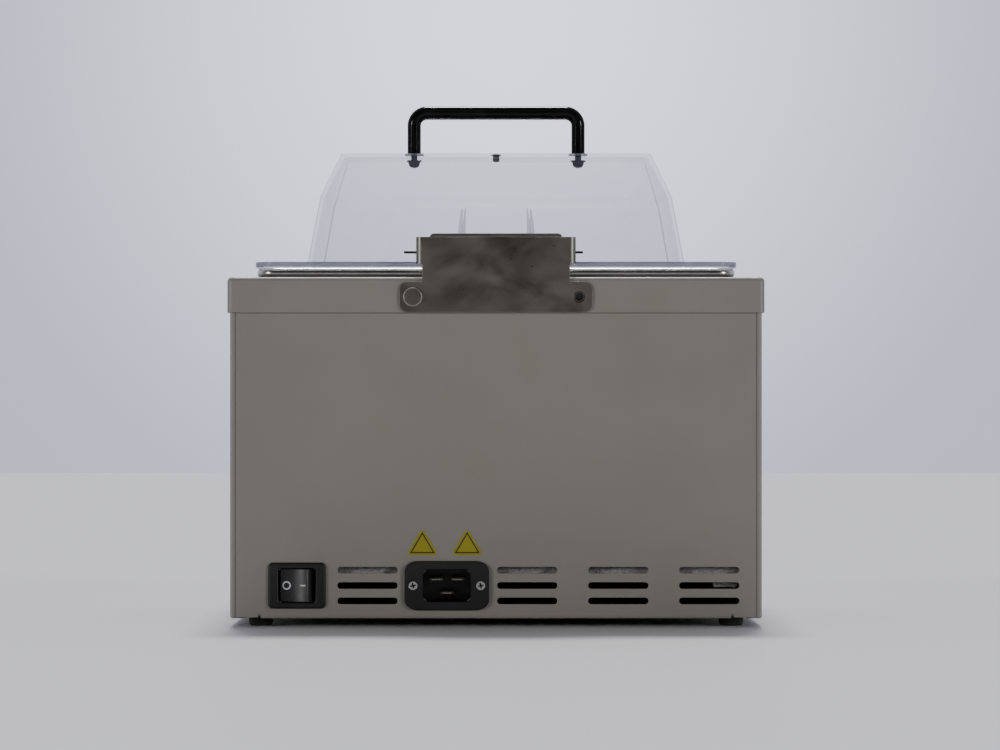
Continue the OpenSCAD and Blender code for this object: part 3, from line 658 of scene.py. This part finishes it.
def tubeBlock(node, body):
    s = blockShape
    cols, rows, bore, depth, lift = s[node]
    a, b = low(node), high(node)
    w, d = b.x - a.x, b.y - a.y
    m = (a + b) / 2
    piece = stack(node.replace("_", "") + "Piece", s["corner"], [(w, d, a.z), (w, d, b.z)])
    settle(piece, (m.x, m.y, 0))
    bevel(piece, s["edge"], 3, 60)
    px, py = w / (cols + s["margin"]), d / (rows + s["margin"])
    bores = [boreCutter(bore / 2, m.x + (c - (cols - 1) / 2) * px, m.y + (r - (rows - 1) / 2) * py,
                        b.z, depth - bore / 8, s["chamfer"]) for c in range(cols) for r in range(rows)]
    radius, deep, chamfer = s["liftHole"]
    bores.append(boreCutter(radius, m.x + lift[0] * px, m.y + lift[1] * py, b.z, deep, chamfer))
    cut(piece, [join(bores)])
    smooth(piece, 35)
    stand(piece, body, blockAluminium, node)


for number in (1, 2, 3, 4):
    tubeBlock("tube_block_%d" % number, "block_%d" % number)
print("deck and blocks modelled")


# ---------- lid ----------

lidShape = {"corner": 14, "inset": 29, "draft": 8, "crease": 41, "wall": 2.4, "soft": 3.2,
            "flange": 3.0, "ridge": (190.4, 66), "recess": (44, 62, 9), "recessCorner": 9,
            "lean": -84}


def lidHood():
    s = lidShape
    a, b = low("lid_hood"), high("lid_hood")
    w, d, t = b.x - a.x, b.y - a.y, s["flange"]
    top = b.z - a.z
    hood = (w - 2 * s["inset"], d - 2 * s["inset"])
    crease = (hood[0] - 2 * s["draft"], hood[1] - 2 * s["draft"])
    shell = stack("hoodOuter", 17, [(*hood, -6), (*hood, 0.5), (*crease, t + s["crease"]),
                                    (*s["ridge"], top)], corner=10)
    bevel(shell, s["soft"], 4, 14)
    # the finger recess runs up the front wall and over the crease
    rw, rh, rd = s["recess"]
    place = (0, -hood[1] / 2 + rd - 2, t + rh / 2 - 12)
    groove = stack("groove", s["recessCorner"], [(rw, rh, -30), (rw, rh, 0), (rw - 5, rh - 5, 5)],
                   corner=8)
    settle(groove, place, (s["lean"], 0, 0))
    cut(shell, [groove])
    lid = stack("flange", s["corner"], [(w, d, 0), (w, d, t)], corner=8)
    modifier(lid, "BOOLEAN", operation="UNION", object=shell, solver="EXACT")
    bpy.data.objects.remove(shell, do_unlink=True)
    outward(lid)
    wall = s["wall"]
    inside = (hood[0] - 2 * wall, hood[1] - 2 * wall)
    insideCrease = (crease[0] - 2 * wall, crease[1] - 2 * wall)
    inner = stack("inner", 15, [(*inside, -8), (*inside, 0.5), (*insideCrease, t + s["crease"] - 0.6),
                                (s["ridge"][0] - 3.4, s["ridge"][1] - 1.4, top - wall)], corner=10)
    bevel(inner, s["soft"], 4, 14)
    wide, tall = rw + 2 * wall, rh + 2 * wall
    thumb = stack("thumb", s["recessCorner"], [(wide, tall, -30), (wide, tall, wall),
                                               (rw - 1, rh - 1, 5 + wall)], corner=8)
    settle(thumb, place, (s["lean"], 0, 0))
    cut(inner, [thumb])
    cut(lid, [inner])
    cut(lid, [block("below", (-w, -d, -20), (w, d, 0))])
    lid.name = "lidHood"
    settle(lid, (0, (a.y + b.y) / 2, a.z))
    smooth(lid, 32)
    stand(lid, "lid", clearSheet, "lid_hood")
    lid.data.materials.append(clearEdge)
    lid.data.materials.append(paintedBendShade)
    # the sawn rim of the flange shows dull, and the bends get a painted shade line: a darker, more
    # opaque finish standing in for the dark line the bent sheet shows
    for face in lid.data.polygons:
        x, y, z = face.center / mm
        n = face.normal
        rim = abs(x) > w / 2 - 14 or abs(y - (a.y + b.y) / 2) > d / 2 - 14
        if rim and z < a.z + t - 0.1 and abs(n.z) < 0.5:
            face.material_index = 1
            continue
        # painted shade: side faces turned toward the camera, the top bend and the thumb recess walls
        # get the dark line finish
        across = abs(n.x) / max(n.xy.length, 0.001)
        side = n.y > 0 and 0.95 < across < 0.9995 and z > a.z + t + 0.5
        topBend = n.y > 0.1 and 0.55 < n.z < 0.995 and z > b.z - 1.6
        thumbEdge = abs(n.x) > 0.75 and abs(x) < rw / 2 + 1
        if (side and abs(x) > 60) or topBend or thumbEdge:
            face.material_index = 2


handleShape = {"bar": 4.2, "bend": 12}


def lidHandle():
    h = handleShape
    a, b = low("lid_handle"), high("lid_handle")
    r = h["bar"]
    side = b.x - r
    bendR = h["bend"] - r
    foot = a.z
    y = (a.y + b.y) / 2
    deselect()
    mesh.primitive_circle_add(vertices=28, radius=r * mm, fill_type="NOTHING",
                              location=(side * mm, y * mm, foot * mm))
    bar = rename("lidHandle")
    bpy.ops.object.transform_apply(location=True)
    edit(bar, "EDGE")
    mesh.select_all(action="SELECT")
    rise = b.z - r - bendR - foot
    for share in (0.15, 0.35, 0.5):
        mesh.extrude_region_move(TRANSFORM_OT_translate={"value": (0, 0, rise * share * mm)})
    mesh.spin(steps=10, angle=math.pi / 2, center=((side - bendR) * mm, y * mm, (foot + rise) * mm),
              axis=(0, 1, 0))
    mesh.extrude_region_move(TRANSFORM_OT_translate={"value": (-(side - bendR) * mm, 0, 0)})
    leave()
    modifier(bar, "MIRROR", use_axis=(True, False, False), use_clip=True)
    pickEdges(bar, lambda p, q: abs(p.z - foot) < 0.01 and abs(q.z - foot) < 0.01 and p.x > 0)
    mesh.edge_face_add()
    leave()
    pickEdges(bar, lambda p, q: abs(p.z - foot) < 0.01 and abs(q.z - foot) < 0.01 and p.x < 0)
    mesh.edge_face_add()
    leave()
    outward(bar)
    smooth(bar, 60)
    stand(bar, "lid", blackBar, "lid_handle")


screwShape = {"dome": [(1.0, -5.0), (2.4, -4.5), (3.3, -3.4), (3.6, -2.2), (3.7, -1.3), (4.6, -1.25),
                       (4.8, -1.0), (4.6, -0.25), (2.0, -0.2), (2.0, 15)],
              "washer": [(2.3, 0.05), (5.7, 0.05), (6.0, 0.35), (6.0, 1.2), (5.7, 1.5), (2.3, 1.5)]}


def handleFixings():
    s = screwShape
    a, b = low("lid_handle"), high("lid_handle")
    y = (a.y + b.y) / 2
    top = high("lid_hood").z
    screws, washers = [], []
    for x in (a.x + handleShape["bar"], b.x - handleShape["bar"]):
        screws.append(settle(turned("handleScrews", s["dome"]), (x, y, top - lidShape["wall"])))
        washers.append(settle(turned("handleWashers", s["washer"]), (x, y, top)))
    both = join(screws)
    smooth(both, 40)
    stand(both, "lid", blackBar, "handle_screws")
    rings = join(washers)
    smooth(rings, 40)
    stand(rings, "lid", clearEdge, "handle_washers")


def lidPlug():
    a, b = low("lid_plug"), high("lid_plug")
    top = high("lid_hood").z
    rings = [(1.6, a.z), (2.1, a.z + 0.4), (2.1, top + 0.05), (3.2, top + 0.06), (3.2, top + 0.5),
             (2.8, top + 1.0), (1.8, b.z)]
    plug = settle(turned("lidPlug", rings), (0, (a.y + b.y) / 2, 0))
    smooth(plug, 40)
    stand(plug, "lid", footRubber, "lid_plug")


lidHood()
lidHandle()
handleFixings()
lidPlug()
print("lid modelled")


# ---------- hinge ----------

bracketShape = {"sheet": 1.5, "bend": 3.5, "neck": 43.75, "earRise": 18, "earCorner": 4.8,
                "cheekLow": 214.8, "noseRise": 10, "noseCorner": 4.6, "hole": 3.4}


def hingeBracket():
    s = bracketShape
    a, b = low("hinge_bracket"), high("hinge_bracket")
    face = b.y
    earTop = a.z + s["earRise"]
    neck, cheekLow, r = s["neck"], s["cheekLow"], s["bend"]
    pin = middle("hinge_pin")
    deselect()
    mesh.primitive_plane_add(size=mm, rotation=(math.pi / 2, 0, 0))
    plate = rename("hingeBracket")
    bpy.ops.object.transform_apply(rotation=True)
    edit(plate, "VERT")
    mesh.select_all(action="SELECT")
    bpy.ops.transform.resize(value=(2 * neck, 1, b.z - a.z), center_override=(0, 0, 0))
    bpy.ops.transform.translate(value=(0, face * mm, (a.z + b.z) / 2 * mm))
    for z in (earTop, cheekLow):
        mesh.select_all(action="SELECT")
        mesh.bisect(plane_co=(0, 0, z * mm), plane_no=(0, 0, 1))
    leave()
    for way in (-1, 1):
        # an ear for the screw below, and a cheek folded forward to the pin above
        pickEdges(plate, lambda p, q: abs(p.x - way * neck) < 0.01 and abs(q.x - way * neck) < 0.01
                  and max(p.z, q.z) < earTop + 0.01)
        mesh.extrude_region_move(TRANSFORM_OT_translate={"value": (way * (b.x - neck) * mm, 0, 0)})
        leave()
        pickEdges(plate, lambda p, q: abs(p.x - way * neck) < 0.01 and abs(q.x - way * neck) < 0.01
                  and min(p.z, q.z) > cheekLow - 0.01)
        mesh.spin(steps=6, angle=way * math.pi / 2, center=(way * neck * mm, (face - r) * mm, 0),
                  axis=(0, 0, 1))
        mesh.extrude_region_move(TRANSFORM_OT_translate={"value": (0, -3.5 * mm, 0)})
        mesh.extrude_region_move(TRANSFORM_OT_translate={"value": (0, -3.0 * mm, 0)})
        bpy.ops.transform.resize(value=(1, 1, s["noseRise"] / (b.z - cheekLow)),
                                 center_override=(way * (neck + r) * mm, 0, pin.z * mm))
        nose = face - r - 6.5 - a.y
        mesh.extrude_region_move(TRANSFORM_OT_translate={"value": (0, -nose * mm, 0)})
        leave()
    for corner, steps, test in ((s["earCorner"], 7, lambda v: abs(v.x) > b.x - 0.1),
                                (s["noseCorner"], 6, lambda v: v.y < a.y + 0.1)):
        edit(plate, "VERT")
        mesh.select_all(action="DESELECT")
        leave()
        for vert in plate.data.vertices:
            vert.select = test(vert.co / mm)
        bpy.ops.object.mode_set(mode="EDIT")
        mesh.bevel(offset=corner * mm, segments=steps, affect="VERTICES")
        leave()
    outward(plate)
    facing = max(plate.data.polygons, key=lambda f: f.area).normal.y
    modifier(plate, "SOLIDIFY", thickness=s["sheet"] * mm, offset=-1 if facing > 0 else 1)
    cut(plate, [rod("hole", s["hole"], Vector((x, face - 4, z)), Vector((x, face + 2, z)))
                for x, z in insertSpots()])
    bevel(plate, 0.22, 2, 50)
    smooth(plate, 35)
    stand(plate, "housing", bracketSteel, "hinge_bracket")


leafShape = {"sheet": 1.5, "corner": 3.2, "standOff": 6.6, "lug": 8}


def hingeLeaf():
    s = leafShape
    a, b = low("hinge_leaf"), high("hinge_leaf")
    t = s["sheet"]
    pin = middle("hinge_pin")
    back = pin.y - s["standOff"]
    w, h = b.x - a.x, b.z - a.z
    plate = stack("leafPlate", s["corner"], [(w, h, 0), (w, h, t)], corner=8)
    settle(plate, (0, back, (a.z + b.z) / 2), (90, 0, 0))
    tongue = block("tongue", (a.x, a.y, a.z), (b.x, back - 0.2, a.z + t))
    lugs = []
    for x in (a.x, b.x - t):
        reach = s["standOff"] + 9.5
        lug = stack("lug", s["lug"] / 2 - 0.1, [(reach, s["lug"], 0), (reach, s["lug"], t)], corner=8)
        lugs.append(settle(lug, (x, (back - t + pin.y + 4) / 2, pin.z), (90, 0, 90)))
    leaf = join([plate, tongue] + lugs)
    leaf.name = "hingeLeaf"
    bevel(leaf, 0.25, 2, 50)
    smooth(leaf, 35)
    stand(leaf, "lid", leafSteel, "hinge_leaf")


pinShape = {"radius": 0.8}


def hingePin():
    a, b = low("hinge_pin"), high("hinge_pin")
    r = pinShape["radius"]
    rings = [(r * 0.6, 0), (r, 0.35), (r, b.x - a.x - 0.35), (r * 0.6, b.x - a.x)]
    wire = settle(turned("hingePin", rings, 20), (a.x, (a.y + b.y) / 2, (a.z + b.z) / 2), (0, 90, 0))
    smooth(wire, 50)
    stand(wire, "housing", darkWire, "hinge_pin")


headShape = {"face": [(2.45, -8.5), (2.45, 0), (5.45, 0), (5.7, 0.25), (5.7, 1.3), (5.45, 1.75)],
             "disc": [(5.0, 1.6), (5.0, 1.78), (4.8, 1.84), (3.0, 1.9), (0.9, 1.97), (0.7, 1.9)]}


def hingeScrew():
    s = headShape
    m = middle("hinge_screw")
    plateFace = high("hinge_bracket").y
    body = settle(turned("hingeScrew", s["face"]), (m.x, plateFace, m.z), (-90, 0, 0))
    disc = settle(turned("screwDisc", s["disc"]), (m.x, plateFace, m.z), (-90, 0, 0))
    body.data.materials.append(screwSteel)
    disc.data.materials.append(screwFace)
    head = join([body, disc])
    smooth(head, 25)
    stand(head, "housing", None, "hinge_screw")


def hingeInserts():
    s = insertShape
    r = s["radius"]
    tubes = []
    for x, z in insertSpots():
        sleeve = turned("insertSleeve", [(r, 0), (r, 7.9), (r - 0.3, 8.3)], 36)
        thread = [(s["thread"][1 - i % 2], 8.5 - i * s["pitch"]) for i in range(s["turns"])]
        bore = turned("thread", [(2.75, 9.0)] + thread, 30)
        cut(sleeve, [bore])
        tubes.append(settle(sleeve, (x, low("hinge_inserts").y, z), (-90, 0, 0)))
    both = join(tubes)
    both.name = "hingeInserts"
    smooth(both, 30)
    stand(both, "housing", insertSteel, "hinge_inserts")


hingeBracket()
hingeLeaf()
hingePin()
hingeScrew()
hingeInserts()
print("hinge modelled")


# ---------- switch and inlet ----------

switchShape = {"opening": (21.9, 20.0), "corner": 2.4, "body": (30, 22), "radius": 10.6, "tilt": 15,
               "horn": 38, "dish": 24.4, "dip": 1.8, "width": 19.4, "markOut": 5.0,
               "mark": (1.75, 2.5)}


def powerSwitch():
    s = switchShape
    a, b = low("switch_housing"), high("switch_housing")
    m = (a + b) / 2
    w, h = b.x - a.x, b.z - a.z
    ow, oh = s["opening"]
    face = b.y
    bezel = stack("switchFrame", s["corner"],
                  [(*s["body"], -20), (*s["body"], -2), (w, h, -2), (w, h, -0.9),
                   (w - 1.6, h - 1.6, 0), (ow + 1.0, oh + 1.0, 0), (ow, oh, -0.6), (ow, oh, -15)])
    settle(bezel, (m.x, face, m.z), (-90, 0, 0))
    bevel(bezel, 0.18, 2, 35)
    smooth(bezel, 35)
    stand(bezel, "housing", switchBlack, "switch_housing")


def rockerPiece():
    s = switchShape
    pivot = Vector(joint["rocker_tilt"]["pos_m"]) / mm
    r = s["radius"]
    tip = r * math.sin(math.radians(s["horn"]))
    dishAt = tip + s["dish"] - s["dip"]
    deselect()
    mesh.primitive_cylinder_add(vertices=96, radius=r * mm, depth=s["width"] * mm)
    rocker = rename("powerRocker")
    edit(rocker, "FACE")
    for y, way in ((tip, 1), (-0.55 * r, -1)):
        mesh.select_all(action="SELECT")
        mesh.bisect(plane_co=(0, y * mm, 0), plane_no=(0, way, 0), clear_outer=True, use_fill=True)
    leave()
    deselect()
    mesh.primitive_cylinder_add(vertices=200, radius=s["dish"] * mm, depth=30 * mm,
                                location=(0, dishAt * mm, 0))
    dish = rename("dish")
    bpy.ops.object.transform_apply(location=True)
    cut(rocker, [dish])
    bevel(rocker, 0.7, 4, 30)
    smooth(rocker, 40)
    rocker.data.materials.append(switchBlack)
    marks = []
    for x in (s["markOut"], -s["markOut"]):
        y = dishAt - math.sqrt(s["dish"] ** 2 - x * x) + 0.02
        lean = math.degrees(math.asin(x / s["dish"]))
        if x > 0:
            inner, outer = s["mark"]
            mark = turned("mark", [(outer, -0.3), (outer, 0.19), (inner, 0.19), (inner, -0.3)], 40)
        else:
            mark = stack("mark", 0.25, [(4.4, 0.8, -0.3), (4.4, 0.8, 0.05)])
        mark.data.materials.append(markWhite)
        settle(mark, (0, 0, 0), (-90, 0, 0))
        settle(mark, (x, y, 0), (0, 0, lean))
        marks.append(mark)
    whole = join([rocker] + marks)
    settle(whole, pivot, (0, 0, -s["tilt"]))
    stand(whole, "rocker", None, "power_rocker")


inletShape = {"corner": 5, "body": (32, 24), "recess": (28, 19, 3), "screws": (-20, 20),
              "pins": ((-6.5, 3.6), (6.5, 3.6), (0, -4.4))}


def mainsInlet():
    s = inletShape
    a, b = low("inlet_body"), high("inlet_body")
    m = (a + b) / 2
    face = b.y
    w, h = b.x - a.x, b.z - a.z
    rw, rh, rc = s["recess"]
    body = stack("inletBody", s["corner"],
                 [(*s["body"], -24), (*s["body"], -2.5), (w, h, -2.5), (w, h, -0.7),
                  (w - 1.2, h - 1.2, 0)], corner=8)
    cavity = stack("cavity", rc, [(rw, rh, -20), (rw, rh, -0.5), (rw + 1, rh + 1, 0.2),
                                  (rw + 1, rh + 1, 2)], corner=8)
    holes = [settle(turned("sink", [(1.6, -6), (1.7, -1.4), (3.0, 0), (3.0, 1)], 32), (x, 0, 0))
             for x in s["screws"]]
    cut(body, [cavity] + holes)
    bevel(body, 0.2, 2, 40)
    settle(body, (m.x, face, m.z), (-90, 0, 0))
    smooth(body, 35)
    stand(body, "housing", inletBlack, "inlet_body")
    blades = []
    for x, z in s["pins"]:
        blade = stack("blade", 0.4, [(8, 2, -17.5), (8, 2, -3.6), (4.8, 0.9, -1.6)], corner=3)
        blades.append(settle(blade, (m.x + x, face, m.z + z), (-90, 0, 0)))
    pins = join(blades)
    pins.name = "inletPins"
    bevel(pins, 0.12, 2, 30)
    smooth(pins, 30)
    stand(pins, "housing", pinNickel, "inlet_pins")


crossShape = {"arm": 3.6, "width": 0.95, "depth": 1.6, "turns": (12, 102)}


def inletScrews():
    c = crossShape
    m = middle("inlet_screws")
    face = high("inlet_screws").y
    screws = []
    for x in inletShape["screws"]:
        head = turned("inletScrew", [(1.45, -8), (1.5, -1.3), (2.5, -0.15), (2.65, 0), (2.3, 0.05)], 36)
        arms = []
        for turn in c["turns"]:
            arm = stack("arm", 0, [(c["width"] * 0.5, c["arm"] * 0.4, -c["depth"]),
                                   (c["width"], c["arm"], 0.3)])
            arm.data.materials.append(darkWire)
            arms.append(settle(arm, turn=(0, 0, turn)))
        head.data.materials.append(screwSteel)
        cut(head, arms, "TRANSFER")
        screws.append(settle(head, (m.x + x, face, m.z), (-90, 0, 0)))
    both = join(screws)
    both.name = "inletScrews"
    smooth(both, 30)
    stand(both, "housing", None, "inlet_screws")


labelShape = {"width": 16.8, "corner": 3.2, "rings": (10.3, 7.9, 6.5), "height": 0.14}


def warningLabels():
    s = labelShape
    a, b = low("warning_stickers"), high("warning_stickers")
    w, h = s["width"], b.z - a.z
    outer, line, inner = s["rings"]
    t = s["height"]
    labels = []
    for x in (a.x + w / 2, b.x - w / 2):
        label = turned("warningLabels", [(outer, 0), (outer, t), (line, t), (inner, t)], 3)
        label.data.materials.append(labelYellow)
        label.data.materials.append(labelBlack)
        verts = label.data.vertices
        for face in label.data.polygons:
            reach = [verts[i].co.xy.length / mm for i in face.vertices]
            if max(reach) < line + 0.1 and max(reach) > inner + 0.1 and face.normal.z > 0.5:
                face.material_index = 1
        pickEdges(label, lambda p, q: p.xy.length > outer - 0.1 and (p.xy - q.xy).length < 0.01)
        mesh.bevel(offset=s["corner"] * mm, segments=6, affect="EDGES")
        leave()
        xs = [v.co.x / mm for v in label.data.vertices]
        ys = [v.co.y / mm for v in label.data.vertices]
        edit(label)
        mesh.select_all(action="SELECT")
        bpy.ops.transform.resize(value=(w / (max(xs) - min(xs)), h / (max(ys) - min(ys)), 1),
                                 center_override=(0, 0, 0))
        leave()
        foot = min(v.co.y / mm for v in label.data.vertices)
        settle(label, (x, a.y + 0.02, a.z - foot), (90, 0, 180))
        labels.append(label)
    stand(join(labels), "housing", None, "warning_stickers")


joint = {j["name"]: j for j in frame["record"]["behaviour"]["joints"]}
powerSwitch()
rockerPiece()
mainsInlet()
inletScrews()
warningLabels()
print("rear fittings modelled")


# ---------- front controls ----------

fasciaShape = {"corner": 6, "window": (66, 28, 2), "keyHole": 6.9}


def controlFascia():
    s = fasciaShape
    a, b = low("control_fascia"), high("control_fascia")
    w, h = b.x - a.x, b.z - a.z
    m = (a + b) / 2
    front = a.y
    win = middle("display_window")
    ww, wh, wc = s["window"]
    plate = stack("controlFascia", s["corner"],
                  [(w - 13, h - 13, -7), (w - 13, h - 13, -3.9), (w, h, -3.9), (w, h, -1.4),
                   (w - 1.4, h - 1.4, -0.4), (w - 3.2, h - 3.2, 0)], corner=8)
    pocket = stack("pocket", wc, [(ww - 8, wh - 6, -9), (ww - 8, wh - 6, -1.2), (ww, wh, -1.2),
                                  (ww, wh, 2)])
    cutters = [settle(pocket, (-win.x, 0, 0))]
    for node in ("set_key", "down_key", "up_key", "start_key"):
        r = s["keyHole"]
        ring = turned("keyHole", [(r + 1.3, -9), (r + 1.3, -3.9), (r, -3.9), (r, -0.5),
                                  (r + 0.5, 0.01), (r + 0.5, 1)])
        cutters.append(settle(ring, (-middle(node).x, 0, 0)))
    cut(plate, cutters)
    bevel(plate, 0.2, 2, 50)
    settle(plate, (0, front, m.z), (-90, 0, 180))
    smooth(plate, 35)
    stand(plate, "housing", fasciaBlack, "control_fascia")


keyShape = {"rings": [(4, -8.0), (4, -6.8), (7.7, -6.8), (7.7, -5.8), (6.4, -5.8), (6.4, -1.2),
                      (6.1, -0.45), (5.4, -0.12), (4.2, 0.0)], "icon": 1.9}


def keyCap(node, body, icon):
    k = middle(node)
    front = low(node).y
    cap = turned(node.replace("_", "") + "Cap", keyShape["rings"])
    smooth(cap, 35)
    cap.data.materials.append(keyGrey)
    r = keyShape["icon"]
    if icon == "ring":
        sign = turned("icon", [(r, -0.5), (r, 0.0), (r - 0.6, 0.0), (r - 0.6, -0.5)])
    elif icon == "dot":
        sign = turned("icon", [(r * 0.6, -0.5), (r * 0.6, -0.02), (r * 0.4, 0.0)])
    else:
        sign = turned("icon", [(r * 1.2, -0.5), (r * 1.2, 0.0)], 3)
        settle(sign, (0, 0, 0), (0, 0, 0 if icon == "up" else 180))
    sign.data.materials.append(switchBlack)
    both = join([cap, sign])
    settle(both, (k.x, front, k.z), (90, 0, 0))
    stand(both, body, None, node)


controlFascia()
keyCap("set_key", "set_button", "ring")
keyCap("down_key", "down_button", "down")
keyCap("up_key", "up_button", "up")
keyCap("start_key", "start_button", "dot")
print("front controls modelled")


# ---------- finishes on the CAD pieces that stay ----------

def smokedFinish():
    look = Finish("smokedWindow", (0.012, 0.004, 0.004), rough=0.12)
    look.rough(look.spread(look.noise(90, 4), 0.3, 0.7, 0.08, 0.2))
    cloud = look.noise(30, 3)
    look.colour(look.ramp(cloud, [(0.3, (0.010, 0.003, 0.003)), (0.7, (0.018, 0.006, 0.006))]))
    look.shader.inputs["Coat Weight"].default_value = 0.5
    return look.mat


keptFinishes = {
    "base_pan": zincSheet, "block_chamber": chamberAluminium, "heater_mat": siliconeOrange,
    "mat_clamp_plate": zincSheet, "clamp_screws": screwSteel, "chamber_posts": darkWire,
    "side_insulation": woolFelt, "base_insulation": woolFelt, "temperature_sensor": screwSteel,
    "safety_thermostat": fasciaBlack, "control_board": boardGreen, "board_spacers": brassTurned,
    "display_module": fasciaBlack, "key_domes": footRubber, "transformer": coreSteel,
    "relay_heat_sink": chamberAluminium, "solid_state_relay": creamPlastic,
    "terminal_block": creamPlastic, "earth_stud": brassTurned, "mains_wires": wireSleeve,
    "heater_wires": wireSleeve, "display_window": smokedFinish(), "foot_screws": screwSteel,
    "leaf_screws": screwSteel,
}
for nodeName, look in keptFinishes.items():
    part = frame["nodes"][nodeName]
    for spot in part.material_slots:
        spot.material = look
print("kept pieces finished")


# ---------- stage, light and camera ----------

stageShape = {"floorRadius": 6.0, "floorColour": (0.66, 0.655, 0.66), "distance": 2.70,
              "height": 0.1313, "side": -0.0024, "lens": 164.3, "shift": 0.030,
              "sky": [(0, (0.80, 0.81, 1.0)), (0.38, (0.62, 0.63, 0.74)), (0.5, (0.28, 0.28, 0.31)),
                      (0.6, (0.08, 0.08, 0.08)), (1, (0.04, 0.04, 0.04))],
              "glowCentre": (0, -1, 0.085), "glow": (0.0, 0.14, 2.0, 0.88),
              "lamps": {"ceilingPanel": (31, 0, 13, 2.6), "leftFill": (80, 130, 12, 0.95),
                        "rightFill": (80, -130, 12, 0.95)}}


def studio():
    s = stageShape
    deselect()
    mesh.primitive_circle_add(vertices=128, radius=s["floorRadius"], fill_type="NGON")
    floor = rename("studioFloor")
    look = Finish("floorMatt", s["floorColour"], rough=0.55)
    look.rough(look.spread(look.noise(3, 3), 0.3, 0.7, 0.5, 0.62))
    floor.data.materials.append(look.mat)
    world = bpy.data.worlds.new("softRoom")
    bpy.context.scene.world = world
    world.use_nodes = True
    tree = world.node_tree
    back = tree.nodes["Background"]
    coords = tree.nodes.new("ShaderNodeTexCoord")
    parts = tree.nodes.new("ShaderNodeSeparateXYZ")
    tint = tree.nodes.new("ShaderNodeValToRGB")
    scale = tree.nodes.new("ShaderNodeMapRange")
    scale.inputs["From Min"].default_value = -1
    scale.inputs["From Max"].default_value = 1
    tree.links.new(coords.outputs["Generated"], parts.inputs["Vector"])
    tree.links.new(parts.outputs["Y"], scale.inputs["Value"])
    tree.links.new(scale.outputs["Result"], tint.inputs["Fac"])
    fillRamp(tint.color_ramp, s["sky"])
    # a soft glow on the wall behind, brightest above the handle
    reach = tree.nodes.new("ShaderNodeVectorMath")
    reach.operation = "DISTANCE"
    reach.inputs[1].default_value = s["glowCentre"]
    glow = tree.nodes.new("ShaderNodeMapRange")
    glow.interpolation_type = "SMOOTHSTEP"
    for key, number in zip(("From Min", "From Max", "To Min", "To Max"), s["glow"]):
        glow.inputs[key].default_value = number
    tree.links.new(coords.outputs["Generated"], reach.inputs[0])
    tree.links.new(reach.outputs["Value"], glow.inputs["Value"])
    tree.links.new(glow.outputs["Result"], back.inputs["Strength"])
    tree.links.new(tint.outputs["Color"], back.inputs["Color"])
    for name, (tilt, turn, spread, power) in s["lamps"].items():
        data = bpy.data.lights.new(name, "SUN")
        data.angle = math.radians(spread)
        data.energy = power
        lamp = bpy.data.objects.new(name, data)
        bpy.context.collection.objects.link(lamp)
        lamp.location = (0, -1.5, 2.5)
        lamp.rotation_euler = (math.radians(tilt), 0, math.radians(turn))
    eye = bpy.data.cameras.new("benchCamera")
    eye.lens = s["lens"]
    eye.sensor_width = 36
    eye.shift_y = s["shift"]
    camera = bpy.data.objects.new("benchCamera", eye)
    bpy.context.collection.objects.link(camera)
    rear = high("rear_panel").y * mm
    camera.location = (s["side"], rear + s["distance"], s["height"])
    camera.rotation_euler = (math.pi / 2, 0, math.pi)
    bpy.context.scene.camera = camera


studio()
